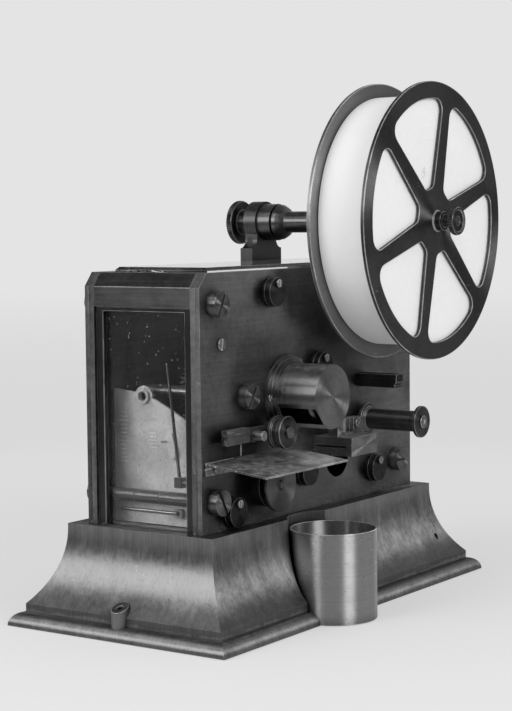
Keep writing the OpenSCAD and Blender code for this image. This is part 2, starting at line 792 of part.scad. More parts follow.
module guide_spool() {
    y1 = face_y - spool_stand;
    y0 = y1 - spool_l;
    color("dimgray") difference() {
        union() {
            ycyl(spool_x, spool_z, y0, y1, spool_tube_r);
            for (y = [y0, y1 - 2]) ycyl(spool_x, spool_z, y, y + 2, spool_flange_r);
            for (y = [y0 + 2, y1 - 3]) ycyl(spool_x, spool_z, y, y + 1, spool_tube_r + 1.2);
        }
        ycyl(spool_x, spool_z, y0 - 1, y1 + 1, spool_bore_r);
    }
}

module arm_pivot_stud() {
    y_arm = face_y - arm_stand;
    color("silver") {
        ycyl(arm_x, arm_z, y_arm + gap, face_y, arm_stud_r + 1);
        ycyl(arm_x, arm_z, face_y - 1, face_y + 3.6, 2);
        ycyl(arm_x, arm_z, y_arm - arm_t - 2, face_y - 1, arm_bore_r - fit);
        ycyl(arm_x, arm_z, y_arm - arm_t - gap - 6.4, y_arm - arm_t - gap, arm_stud_r);
    }
}

module roller_arm() {
    y1 = face_y - arm_stand;
    y0 = y1 - arm_t;
    color("gray") difference() {
        union() {
            box([arm_x - 5.7, y0, arm_z + 0.6], [roller_x - 3, y1, arm_z + 4.2]);
            ycyl(arm_x, arm_z, y0, y1, arm_boss_r);
            box([arm_x - tail_reach, y0 - 1.2, arm_z - 2.9], [arm_x - 5.7, y1, arm_z + 5]);
            ycyl(roller_x, arm_z, y0, y1, 4.2);
            ycyl(roller_x, arm_z, y0 - roller_l - 1.3, y1, roller_bore_r - fit);
            ycyl(roller_x, arm_z, y0 - roller_l - 1.6, y0 - roller_l - gap, 3.1);
            translate([arm_x - 11.6, y0 + 0.9, table_z + 1.5]) cylinder(h = arm_z - table_z - 3, r = 0.9);
        }
        ycyl(arm_x, arm_z, y0 - 3, y1 + 1, arm_bore_r);
    }
}

// Roller of two discs and a waist
module pressure_roller() {
    y1 = face_y - arm_stand - arm_t - gap / 2;
    y0 = y1 - roller_l + gap / 2;
    color("dimgray") difference() {
        union() {
            ycyl(roller_x, arm_z, y0, y1, roller_r - 1.4);
            ycyl(roller_x, arm_z, y0, y0 + 2.8, roller_r);
            ycyl(roller_x, arm_z, y1 - 2.2, y1, roller_r);
        }
        ycyl(roller_x, arm_z, y0 - 1, y1 + 1, roller_bore_r);
    }
}

module setting_wheel_bush() {
    color("dimgray") yring(setting_x, setting_z, face_y - 5.4, face_y, 12.4, setting_shaft_r + fit);
}

module setting_wheel() {
    y0 = face_y - setting_stand - setting_t;
    tooth = 0.55;
    color("dimgray") {
        xz(y0, y0 + setting_t) translate([setting_x, setting_z]) polygon([for (k = [0 : 2 * setting_teeth - 1])
            let (r = setting_r - (k % 2) * tooth, a = k * 180 / setting_teeth) [r * cos(a), r * sin(a)]]);
        ycyl(setting_x, setting_z, y0 - 1.2, y0 + 1, 2.6);
        ycyl(setting_x, setting_z, y0 + setting_t - 0.5, face_y - 5.4 - gap, 6);
        ycyl(setting_x, setting_z, y0, -inner_y + 8, setting_shaft_r);
    }
}

module bracket_outline() {
    neck = bracket_foot_w / 2 - bracket_cove_r;
    difference() {
        union() {
            translate([0, spindle_rise]) circle(r = bracket_head_r);
            translate([-neck, 0]) square([neck * 2, spindle_rise]);
            translate([-bracket_foot_w / 2, 0]) square([bracket_foot_w, bracket_foot_h + bracket_cove_r]);
        }
        for (s = [-1, 1]) translate([s * bracket_foot_w / 2, bracket_foot_h + bracket_cove_r])
            circle(r = bracket_cove_r);
    }
}

module reel_bracket() {
    y1 = bracket_y0 + bracket_t;
    color("dimgray") difference() {
        xz(bracket_y0, y1) translate([reel_x, top_z]) bracket_outline();
        ycyl(reel_x, reel_z, bracket_y0 - 1, y1 + 1, 5 + fit);
        bracket_holes(top_z - 1, top_z + 6, 1.5 + fit);
        bracket_holes(top_z + 5, top_z + bracket_foot_h + bracket_cove_r + 1, bracket_screw_head_r + 0.2);
    }
}

module bracket_screws() {
    color("silver") for (s = [-1, 1])
        translate([reel_x + s * bracket_screw_dx, case_w / 2 - bracket_screw_in, top_z + 5]) {
        difference() {
            cylinder(h = 2.2, r = bracket_screw_head_r);
            translate([-4, -0.35, 1.3]) cube([8, 0.7, 2]);
        }
        translate([0, 0, -14]) cylinder(h = 14.5, r = 1.5);
    }
}

// Steps of the spindle in front of the bracket: distances from it, and radii there
spindle_steps = [[0, 8.9, 10.9, 10.9], [8.9, 10.1, 8.6, 8.6], [10.1, 11.8, 10.3, 10.3],
                 [11.8, 14.8, 10.3, 8.6], [14.8, 16.2, 8.6, 6.5]];
sleeve_r = 6.3;

// Fixed spindle: seat in the bracket, stepped collars, sleeve, the pin that the reel turns on and a nose
module reel_spindle() {
    y_reel = reel_back_y + back_hub_t;
    y_hub = reel_front_y - hub_t;
    color("dimgray") {
        ycyl(reel_x, reel_z, bracket_y0 - 1, knob_y + knob_t - 1.4, 5);
        for (p = spindle_steps) ycone(reel_x, reel_z, bracket_y0 - p[1], bracket_y0 - p[0], p[3], p[2]);
        ycyl(reel_x, reel_z, y_reel + gap, bracket_y0, sleeve_r);
        ycyl(reel_x, reel_z, y_hub, y_reel + 2, spindle_r);
        ycyl(reel_x, reel_z, y_hub - nut_gap - nut_t + 1.2, y_hub + 1, nose_r);
    }
}

module rear_knob() {
    color("dimgray") difference() {
        union() {
            ycyl(reel_x, reel_z, knob_y, knob_y + knob_t, knob_r);
            ycyl(reel_x, reel_z, brake_y, knob_y + 1, 7.4);
        }
        ycyl(reel_x, reel_z, brake_y - 1, knob_y + knob_t - 1, 5 + fit);
    }
}

// Window between two spokes, symmetrical about the first axis, with rounded corners
function lift(p, n, d, c, len) =
    let (q = p + n * c, b = q * d, s = sqrt(max(b * b - (q * q - len * len), 0))) q + d * (s - b);
function arc_pts(c, r, a0, a1, n) =
    [for (i = [0 : n]) let (a = a0 + (a1 - a0) * i / n) c + r * [cos(a), sin(a)]];
function half_window() =
    let (h = 180 / spokes, r_in = flange_hub_r + 4, r_out = reel_r - rim_w, u = [cos(h), sin(h)],
         v = [sin(h), -cos(h)], a = u * r_in + v * spoke_w_in / 2, b = u * r_out + v * spoke_w_out / 2,
         d = (b - a) / norm(b - a), n0 = [d[1], -d[0]], c_out = 6.5, c_in = 4.6,
         p_out = lift(a, n0, d, c_out, r_out - c_out), p_in = lift(a, n0, d, c_in, r_in + c_in),
         dir_n = atan2(-n0[1], -n0[0]), dir_out = atan2(p_out[1], p_out[0]),
         dir_in = atan2(p_in[1], p_in[0]))
    concat(arc_pts([0, 0], r_out, 0, dir_out, 8), arc_pts(p_out, c_out, dir_out, dir_n, 6),
           arc_pts(p_in, c_in, dir_n, dir_in + 180, 6), arc_pts([0, 0], r_in, dir_in, 0, 3));
function flip(pts) = [for (i = [len(pts) - 1 : -1 : 0]) [pts[i][0], -pts[i][1]]];

module flange_disc(y0) {
    xz(y0, y0 + flange_t) translate([reel_x, reel_z]) difference() {
        circle(r = reel_r, $fn = 180);
        circle(r = spindle_r + fit);
        for (k = [0 : spokes - 1]) rotate(spoke_turn + (k + 0.5) * 360 / spokes)
            polygon(concat(half_window(), flip(half_window())));
    }
}

module reel_back_flange() {
    y0 = reel_back_y - flange_t;
    color("dimgray") {
        flange_disc(y0);
        yring(reel_x, reel_z, y0 + flange_t - 0.5, reel_back_y + back_hub_t, flange_hub_r - 4, spindle_r + fit);
    }
}

module reel_front_flange() {
    y0 = reel_front_y;
    sink = 0.2;
    foot_r = flange_hub_r + sink * (flange_hub_r - hub_cone_r) / hub_cone_h;
    color("dimgray") difference() {
        union() {
            flange_disc(y0);
            ycone(reel_x, reel_z, y0 - hub_cone_h, y0 + sink, hub_cone_r, foot_r);
            ycyl(reel_x, reel_z, y0 - hub_t, y0 + sink, hub_ring_r);
        }
        ycyl(reel_x, reel_z, y0 - hub_t - 1, y0 + flange_t + 1, spindle_r + fit);
    }
}

module reel_core_tube() {
    color("peru")
        yring(reel_x, reel_z, reel_front_y + flange_t, reel_back_y - flange_t, reel_core_r, spindle_r + fit);
}

module paper_roll() {
    color("ivory") difference() {
        ycyl(reel_x, reel_z, reel_front_y + flange_t + gap, reel_back_y - flange_t - gap, paper_r);
        ycyl(reel_x, reel_z, reel_front_y, reel_back_y, reel_core_r + fit);
    }
}

// Knurled disc on a neck and collar, with a sunk face round the spindle's nose
module thumb_nut() {
    y1 = reel_front_y - hub_t - gap;
    y_disc = reel_front_y - hub_t - nut_gap;
    color("dimgray") difference() {
        union() {
            ycyl(reel_x, reel_z, y_disc - nut_t, y_disc, nut_r);
            ycyl(reel_x, reel_z, y_disc - 0.5, y1, nut_neck_r);
            ycyl(reel_x, reel_z, y1 - nut_collar_l, y1, nut_collar_r);
        }
        ycyl(reel_x, reel_z, y_disc - nut_t - 1, y1 + 1, nose_r + fit);
        ycyl(reel_x, reel_z, y_disc - nut_t - 1, y_disc - nut_t + 0.8, nut_r - 1.6);
    }
}

module cup() {
    color("gold") translate([cup_x + cup_shift[0], cup_y + cup_shift[1], 0]) difference() {
        cylinder(h = cup_h, r = cup_r, $fn = 96);
        translate([0, 0, cup_wall]) cylinder(h = cup_h, r = cup_r - cup_wall, $fn = 96);
    }
}

// Open barrel with the great wheel on its front
module spring_barrel() {
    color("goldenrod") difference() {
        union() {
            gear(barrel_x, barrel_z, great_y, great_y + great_t, great_n, great_turn);
            ycyl(barrel_x, barrel_z, great_y + 1, barrel_y, winding_r + 4);
            ycyl(barrel_x, barrel_z, barrel_y, barrel_y + barrel_l, barrel_r);
        }
        ycyl(barrel_x, barrel_z, barrel_y + 1.5, barrel_y + barrel_l + 1, barrel_r - 1.5);
        ycyl(barrel_x, barrel_z, great_y - 1, barrel_y + 2, winding_r + fit);
    }
}

// Spiral band of the mainspring
spring_turns = 6;
spring_r0 = winding_r + 1.2;
spring_r1 = barrel_r - 1.9;
function spring_r(t) = spring_r0 + (spring_r1 - spring_r0) * t;
function spring_edge(off) = [for (i = [0 : 20 * spring_turns])
    let (t = i / (20 * spring_turns), a = 360 * spring_turns * t, r = spring_r(t) + off)
    [r * cos(a), r * sin(a)]];
module mainspring() {
    outer = spring_edge(0);
    inner = spring_edge(-0.5);
    color("slategray") xz(barrel_y + 3, barrel_y + barrel_l - 2) translate([barrel_x, barrel_z])
        polygon(concat(outer, [for (i = [len(inner) - 1 : -1 : 0]) inner[i]]));
}

module winding_arbor() {
    reach = inner_y + plate_t - 0.6;
    square_end = face_y + 0.8;
    color("silver") {
        ycyl(barrel_x, barrel_z, face_y + winding_depth, reach, winding_r);
        xz(square_end, face_y + winding_depth + 1) translate([barrel_x - 2.7, barrel_z - 2.7]) square(5.4);
    }
}

module second_arbor() {
    color("goldenrod") {
        arbor(k_x, k_z, arbor_r);
        gear(k_x, k_z, great_y - 0.8, great_y + great_t + 0.8, k_pinion_n, k_turn);
        gear(k_x, k_z, k_wheel_y, k_wheel_y + wheel_t, k_wheel_n, k_turn);
    }
}

module third_arbor() {
    color("goldenrod") {
        arbor(t_x, t_z, arbor_r);
        gear(t_x, t_z, k_wheel_y - 1, k_wheel_y + wheel_t + 1, t_pinion_n, t_turn);
        gear(t_x, t_z, t_wheel_y, t_wheel_y + wheel_t, t_wheel_n, t_turn);
    }
}

// Arbor that comes through the front plate and carries the marking wheel inside the drum cover
module marking_arbor() {
    wheel_y = face_y - drum_l + 6;
    color("goldenrod") {
        ycyl(drum_x, drum_z, wheel_y - 1.5, inner_y - gap, 3);
        ycyl(drum_x, drum_z, inner_y - 1, inner_y + plate_t - 0.6, pivot_r);
        ycyl(drum_x, drum_z, wheel_y, wheel_y + 2.4, drum_r - 4.5);
        gear(drum_x, drum_z, t_wheel_y - 1, t_wheel_y + wheel_t + 1, d_pinion_n, d_turn);
        gear(drum_x, drum_z, d_wheel_y, d_wheel_y + wheel_t, d_wheel_n, d_turn);
    }
}

// Fan of two blades that holds the speed
module fly_arbor() {
    color("goldenrod") {
        arbor(e_x, e_z, arbor_r);
        gear(e_x, e_z, d_wheel_y - 1, d_wheel_y + wheel_t + 1, e_pinion_n, e_turn);
        translate([e_x, 0, e_z]) rotate([0, 35, 0]) translate([-24, -20, -0.6]) cube([48, 30, 1.2]);
    }
}

module magnet_coils() {
    color("darkgreen") for (s = [-1, 1])
        translate([magnet_x, s * coil_y, magnet_z]) rotate([0, 90, 0]) difference() {
        union() {
            cylinder(h = coil_l, r = coil_r - 0.9);
            cylinder(h = 1.8, r = coil_r);
            translate([0, 0, coil_l - 1.8]) cylinder(h = 1.8, r = coil_r);
        }
        translate([0, 0, -1]) cylinder(h = coil_l + 2, r = iron_r + fit);
    }
}

module magnet_yoke() {
    x1 = magnet_x + coil_l;
    color("dimgray") {
        box([x1, -inner_y, magnet_z - 12], [x1 + yoke_t, inner_y, magnet_z + 12]);
        for (s = [-1, 1]) translate([magnet_x - 1.5, s * coil_y, magnet_z]) rotate([0, 90, 0])
            cylinder(h = coil_l + 2, r = iron_r);
    }
}

module armature() {
    x1 = magnet_x - 1.5 - armature_gap;
    color("dimgray") {
        arbor(armature_x, armature_z, arbor_r);
        ycyl(armature_x, armature_z, -12, 12, 3.4);
        box([x1 - armature_t, -9, armature_z], [x1, 9, armature_z + armature_h]);
        box([x1 - armature_t, -coil_y - 8, magnet_z - 6], [x1, coil_y + 8, magnet_z + 6]);
    }
}

// Plate with engraved ticks, a sloping round-shouldered top edge, a bush and a small index hand
scale_edge = [[-inner_y, case_z + gap], [inner_y, case_z + gap], [inner_y, case_z + 71.8], [14, case_z + 70],
    [4, case_z + 66.5], [-6, case_z + 61.5], [-14, case_z + 57], [-inner_y, case_z + 50.5]];
module scale_plate() {
    x1 = scale_x + scale_t;
    color("gray") {
        difference() {
            union() {
                translate([scale_x, 0, 0]) rotate([90, 0, 90]) linear_extrude(scale_t) polygon(scale_edge);
                translate([scale_x, scale_dial_y + 6, case_z + 68.4]) rotate([0, 90, 0])
                    cylinder(h = scale_t, r = 5.6);
            }
            translate([scale_x - 1, scale_dial_y + 6, case_z + 68.4]) rotate([0, 90, 0])
                cylinder(h = 5, r = 2.6);
            for (a = [-44 : 11 : 44]) translate([scale_x - 0.6, scale_dial_y, scale_dial_z]) rotate([a, 0, 0])
                translate([0, 21, -0.2]) cube([0.9, 3.4, 0.4]);
        }
        translate([scale_x - 1.6, scale_dial_y + 6, case_z + 68.4]) rotate([0, 90, 0]) difference() {
            cylinder(h = 1.6, r = 4);
            translate([0, 0, -1]) cylinder(h = 4, r = 2.6);
        }
        translate([scale_x - 7, hand_y, hand_z]) rotate([0, 90, 0]) cylinder(h = 7.5, r = 0.8);
        translate([scale_x - 2.2, hand_y, hand_z]) rotate([-16, 0, 0]) translate([0, -5, -9.6])
            cube([1.2, 4.6, 12.6]);
    }
}

// Slender rod in its clamp on a stud from the front plate
module signal_rod() {
    color("silver") {
        ycyl(rod_x, rod_z, -inner_y + gap, rod_y + 2.2, 1.6);
        box([rod_x - 2.2, rod_y - 2.2, rod_z - 2.8], [rod_x + 2.2, rod_y + 2.2, rod_z + 2.8]);
        translate([rod_x, rod_y, rod_z]) rotate([-rod_lean, 0, 0]) translate([0, 0, 1.8])
            cylinder(h = rod_l, r1 = 0.95, r2 = 0.7);
        ycyl(rod_x, rod_z, -inner_y - 4, -inner_y + 1, 1.2);
    }
}

module terminal_posts() {
    y0 = -face_y;
    color("goldenrod") for (x = post_x) {
        ycyl(x, post_z, y0 - 8.4, y0, 1.8);
        ycyl(x, post_z, y0, y0 + 3, 4.6);
        difference() {
            union() {
                box([x - 4, y0 + 3, post_z - 4], [x + 4, y0 + 11, post_z + 4]);
                ycyl(x, post_z, y0 + 2.5, y0 + 14, 2.6);
            }
            translate([x, y0 + 7, post_z - 5]) cylinder(h = 10, r = 1.25);
        }
        ycyl(x, post_z, y0 + 12, y0 + 17, 4.6);
    }
}

base_moulding();
base_plate();
base_plate_screws();
hold_down_lugs();
front_plate();
back_plate();
left_end_rail();
glazing_bead();
side_glass();
right_end_plate();
top_rear_bar();
top_glass();
case_pillars();
front_pillar_screws();
back_pillar_screws();
small_plate_screws();
oil_cap_seats();
oil_cap_screws();
oil_cap_upper();
oil_cap_drum();
oil_cap_centre();
oil_cap_right();
oil_cap_left();
winding_boss();
drum_cover();
drum_cover_screws();
tape_table();
tape_block();
tape_gate();
guide_bar();
guide_spool_stud();
guide_spool();
arm_pivot_stud();
roller_arm();
pressure_roller();
setting_wheel_bush();
setting_wheel();
reel_bracket();
bracket_screws();
reel_spindle();
rear_knob();
reel_back_flange();
reel_front_flange();
reel_core_tube();
paper_roll();
thumb_nut();
cup();
spring_barrel();
mainspring();
winding_arbor();
second_arbor();
third_arbor();
marking_arbor();
fly_arbor();
magnet_coils();
magnet_yoke();
armature();
scale_plate();
signal_rod();
terminal_posts();
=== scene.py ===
"""Dresses the telegraph recorder: turned and brushed metal, glass, paper, engraved marks and dust.

Every piece lies in the frame's own place, in metres. +X runs along the front plate, +Y to the back, +Z up.
"""

import json
import math

import bmesh
import bpy
import numpy as np
from mathutils import Matrix, Vector


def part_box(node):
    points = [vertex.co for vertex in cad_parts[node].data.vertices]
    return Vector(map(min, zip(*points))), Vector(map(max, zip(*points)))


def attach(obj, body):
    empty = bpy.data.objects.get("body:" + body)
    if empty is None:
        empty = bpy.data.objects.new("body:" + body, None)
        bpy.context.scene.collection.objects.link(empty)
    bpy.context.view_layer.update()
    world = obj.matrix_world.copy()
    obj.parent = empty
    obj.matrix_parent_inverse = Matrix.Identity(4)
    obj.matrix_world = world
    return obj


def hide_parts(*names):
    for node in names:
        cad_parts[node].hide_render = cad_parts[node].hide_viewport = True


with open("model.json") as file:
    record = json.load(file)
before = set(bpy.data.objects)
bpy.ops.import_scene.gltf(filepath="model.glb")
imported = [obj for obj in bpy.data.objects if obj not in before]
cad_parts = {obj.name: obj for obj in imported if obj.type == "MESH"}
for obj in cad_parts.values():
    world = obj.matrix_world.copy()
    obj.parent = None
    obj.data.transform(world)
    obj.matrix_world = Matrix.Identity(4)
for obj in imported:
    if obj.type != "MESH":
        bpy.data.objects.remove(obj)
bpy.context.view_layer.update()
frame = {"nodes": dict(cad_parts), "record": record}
scene = bpy.context.scene
body_of_node = {n: b for b, members in frame["record"]["behaviour"]["bodies"].items() for n in members}

MM = 0.001


def size_of(node):
    """Lowest and highest corner of a CAD node in millimetres, as two arrays."""
    low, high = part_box(node)
    return np.array(low) / MM, np.array(high) / MM


# Height of the case's foot on the base, and how far the index bush stands out from the scale plate's face
CASE_Z = size_of("front_plate")[0][2]
BUSH_REACH = 7.0


# Node helpers


def put(tree, kind, inputs=None, **settings):
    """Adds a shader node; inputs gives each socket, by name or number, a value or another node's socket."""
    node = tree.nodes.new("ShaderNode" + kind)
    for key, value in settings.items():
        setattr(node, key, value)
    for key, value in (inputs or {}).items():
        if isinstance(value, bpy.types.NodeSocket):
            tree.links.new(value, node.inputs[key])
        else:
            node.inputs[key].default_value = value
    return node


def calc(tree, operation, *values):
    """One Math node's result."""
    return put(tree, "Math", dict(enumerate(values)), operation=operation).outputs[0]


def vec(tree, operation, *values):
    """One Vector Math node's vector result."""
    return put(tree, "VectorMath", dict(enumerate(values)), operation=operation).outputs[0]


def remap(tree, value, low, high, to_low=0.0, to_high=1.0):
    """A smooth step from to_low at low to to_high at high."""
    inputs = {0: value, 1: low, 2: high, 3: to_low, 4: to_high}
    return put(tree, "MapRange", inputs, interpolation_type="SMOOTHSTEP").outputs[0]


def blend_values(tree, mask, a, b):
    """a where the mask is 0 and b where it is 1."""
    return put(tree, "Mix", {0: mask, 2: a, 3: b}, data_type="FLOAT").outputs[0]


def grey(tree, value):
    """A neutral colour from one value."""
    return put(tree, "CombineColor", {0: value, 1: value, 2: value}).outputs[0]


def noise(tree, vector, scale, detail=2.0, rough=0.5, warp=0.0):
    """Cloudy noise around 0.5, with scale cells to the metre."""
    inputs = {"Vector": vector, "Scale": scale, "Detail": detail, "Roughness": rough, "Distortion": warp}
    return put(tree, "TexNoise", inputs).outputs[0]


def group(name, inputs, outputs):
    """An empty node group, with its input and output node. inputs gives each name its value."""
    tree = bpy.data.node_groups.new(name, "ShaderNodeTree")
    for label, value in inputs.items():
        kind = "NodeSocketVector" if isinstance(value, tuple) else "NodeSocketFloat"
        tree.interface.new_socket(label, in_out="INPUT", socket_type=kind).default_value = value
    for label in outputs:
        tree.interface.new_socket(label, in_out="OUTPUT", socket_type="NodeSocketFloat")
    return tree, tree.nodes.new("NodeGroupInput").outputs, tree.nodes.new("NodeGroupOutput").inputs


def use(tree, shared, inputs):
    """Places a shared group and returns its outputs."""
    node = tree.nodes.new("ShaderNodeGroup")
    node.node_tree = shared
    for key, value in inputs.items():
        if isinstance(value, bpy.types.NodeSocket):
            tree.links.new(value, node.inputs[key])
        else:
            node.inputs[key].default_value = value
    return node.outputs


# Shared surface effects


def make_patina():
    """Slow clouds of darker and lighter metal, around 0.5, with small blotches in them."""
    tree, given, result = group("patina", {"Vector": (0.0, 0.0, 0.0), "Scale": 40.0}, ["Tone"])
    slow = noise(tree, given["Vector"], given["Scale"], 3.0, 0.55, 0.4)
    fine = noise(tree, given["Vector"], calc(tree, "MULTIPLY", given["Scale"], 9.0), 2.0, 0.6)
    tone = blend_values(tree, 0.3, slow, fine)
    tree.links.new(remap(tree, tone, 0.3, 0.7), result["Tone"])
    return tree


def make_brushing():
    """Fine parallel lines along the vector's first axis: noise drawn out 40 times, in two widths."""
    tree, given, result = group("brushing", {"Vector": (0.0, 0.0, 0.0), "Scale": 900.0}, ["Lines"])
    drawn = vec(tree, "MULTIPLY", given["Vector"], (0.025, 1.0, 1.0))
    thin = noise(tree, drawn, given["Scale"], 2.0, 0.6)
    broad = noise(tree, drawn, calc(tree, "MULTIPLY", given["Scale"], 0.22), 2.0, 0.5)
    lines = blend_values(tree, 0.4, thin, broad)
    tree.links.new(remap(tree, lines, 0.32, 0.68), result["Lines"])
    return tree


def make_turning():
    """Rings left by a lathe tool: noise of the distance from the axis and of the place along it."""
    tree, given, result = group("turning", {"Radius": 0.0, "Along": 0.0, "Scale": 2200.0}, ["Lines"])
    place = put(tree, "CombineXYZ", {0: given["Radius"], 1: given["Along"]}).outputs[0]
    fine = noise(tree, place, given["Scale"], 2.0, 0.6)
    broad = noise(tree, place, calc(tree, "MULTIPLY", given["Scale"], 0.25), 1.0, 0.5)
    tree.links.new(remap(tree, blend_values(tree, 0.35, fine, broad), 0.3, 0.7), result["Lines"])
    return tree


def make_scratches():
    """Short fine nicks in three directions: the crests of drawn-out noise, in patches."""
    tree, given, result = group(
        "scratches", {"Vector": (0.0, 0.0, 0.0), "Scale": 700.0, "Amount": 0.5}, ["Mask"])
    total = 0.0
    turns = [(0.3, 0.5, 0.9), (1.1, -0.4, 2.2), (-0.7, 0.9, -0.5)]
    for shift, turn in enumerate(turns):
        turned = put(tree, "Mapping", {"Vector": given["Vector"], "Rotation": turn,
                                       "Scale": (0.11, 1.0, 1.0), "Location": (shift, 0.3, 0.7)}).outputs[0]
        crest = remap(tree, noise(tree, turned, given["Scale"], 0.0), 0.7, 0.76)
        total = calc(tree, "MAXIMUM", crest, total)
    patch = noise(tree, given["Vector"], calc(tree, "MULTIPLY", given["Scale"], 0.07), 2.0, 0.6)
    edge = calc(tree, "SUBTRACT", 0.78, calc(tree, "MULTIPLY", given["Amount"], 0.45))
    shown = remap(tree, patch, edge, calc(tree, "ADD", edge, 0.12))
    tree.links.new(calc(tree, "MULTIPLY", total, shown), result["Mask"])
    return tree


def make_specks():
    """Small ragged specks of uneven size: warped cells whose point lies closer than a random radius."""
    tree, given, result = group(
        "specks", {"Vector": (0.0, 0.0, 0.0), "Scale": 900.0, "Amount": 0.3}, ["Mask"])
    ragged = noise(tree, given["Vector"], calc(tree, "MULTIPLY", given["Scale"], 2.4), 2.0, 0.6)
    shift = calc(tree, "DIVIDE", calc(tree, "SUBTRACT", ragged, 0.5), given["Scale"])
    place = vec(tree, "ADD", given["Vector"], shift)
    cells = put(tree, "TexVoronoi", {"Vector": place, "Scale": given["Scale"]})
    pick = put(tree, "SeparateColor", {0: cells.outputs["Color"]}).outputs
    chosen = remap(tree, pick[0], calc(tree, "SUBTRACT", 1.0, given["Amount"]), 1.0)
    radius = calc(tree, "MULTIPLY", calc(tree, "MULTIPLY", chosen, chosen), 0.36)
    inside = calc(tree, "SUBTRACT", radius, cells.outputs["Distance"])
    tree.links.new(remap(tree, inside, 0.0, 0.06), result["Mask"])
    return tree


def make_settled_dust():
    """Dust that lies where the surface looks up, and a ragged band just above one height."""
    tree, given, result = group(
        "settled_dust", {"Vector": (0.0, 0.0, 0.0), "Up": 0.0, "Floor": 0.0, "Band": 0.006},
        ["Lying", "Band"])
    height = put(tree, "SeparateXYZ", {0: given["Vector"]}).outputs[2]
    ragged = noise(tree, given["Vector"], 420.0, 3.0, 0.7)
    lying = calc(tree, "MULTIPLY", remap(tree, given["Up"], 0.35, 0.95), remap(tree, ragged, 0.35, 0.7))
    above = calc(tree, "DIVIDE", calc(tree, "SUBTRACT", height, given["Floor"]), given["Band"])
    near = remap(tree, above, 1.0, 0.0)
    tree.links.new(lying, result["Lying"])
    tree.links.new(calc(tree, "MULTIPLY", near, remap(tree, ragged, 0.3, 0.6)), result["Band"])
    return tree


PATINA = make_patina()
BRUSHING = make_brushing()
TURNING = make_turning()
SCRATCHES = make_scratches()
SPECKS = make_specks()
SETTLED_DUST = make_settled_dust()


# Materials


def blank_material(name):
    """A new material with one Principled shader; returns it, its nodes and that shader."""
    material = bpy.data.materials.new(name)
    material.use_nodes = True
    tree = material.node_tree
    tree.nodes.clear()
    surface = put(tree, "BsdfPrincipled")
    output = put(tree, "OutputMaterial")
    tree.links.new(surface.outputs[0], output.inputs["Surface"])
    return material, tree, surface


AXES = {"x": (1.0, 0.0, 0.0), "y": (0.0, 1.0, 0.0), "z": (0.0, 0.0, 1.0)}

# How many times its own tone a metal shows where it is scratched, unless its finish says otherwise
WORN = 2.0


def groove_pattern(tree, grain, place, normal, line_scale):
    """The way the grooves run, their light and dark lines, and how much darker their sawn ends are."""
    if grain.startswith("turned"):
        axis = AXES[grain[-1]]
        centre = put(tree, "Attribute", attribute_name="axis_place").outputs["Vector"]
        local = vec(tree, "SUBTRACT", place, centre)
        along = put(tree, "VectorMath", {0: local, 1: axis}, operation="DOT_PRODUCT").outputs["Value"]
        across = vec(tree, "SUBTRACT", local, vec(tree, "MULTIPLY", local, axis))
        radius = put(tree, "VectorMath", {0: across}, operation="LENGTH").outputs["Value"]
        turned = {"Radius": radius, "Along": along, "Scale": line_scale * 2.5}
        return vec(tree, "CROSS_PRODUCT", axis, local), use(tree, TURNING, turned)["Lines"], 0.0
    way = put(tree, "CombineXYZ", dict(enumerate(AXES[grain]))).outputs[0]
    facing = put(tree, "VectorMath", {0: normal, 1: way}, operation="DOT_PRODUCT").outputs["Value"]
    sawn = remap(tree, calc(tree, "ABSOLUTE", facing), 0.7, 0.95, 0.0, 0.5)
    quarter = math.pi / 2
    onto_x = {"x": (0.0, 0.0, 0.0), "y": (0.0, 0.0, -quarter), "z": (0.0, quarter, 0.0)}[grain]
    along_x = put(tree, "Mapping", {"Vector": place, "Rotation": onto_x}).outputs[0]
    return way, use(tree, BRUSHING, {"Vector": along_x, "Scale": line_scale})["Lines"], sawn


def painted_shade_band(tree, shade, place, cloud, heights):
    """Painted shade: the shade halved between the second and third of four heights in millimetres and eased
    out to the first and fourth. These borders wander: they lie lower where the cloud is light."""
    wander = 3 * MM
    height = calc(tree, "MULTIPLY_ADD", cloud, wander, put(tree, "SeparateXYZ", {0: place}).outputs[2])
    first, second, third, fourth = (level * MM for level in heights)
    shade_share = calc(tree, "MULTIPLY", remap(tree, height, first, second), remap(tree, height, fourth, third))
    return calc(tree, "MULTIPLY", shade, calc(tree, "MULTIPLY_ADD", shade_share, -0.5, 1.0))


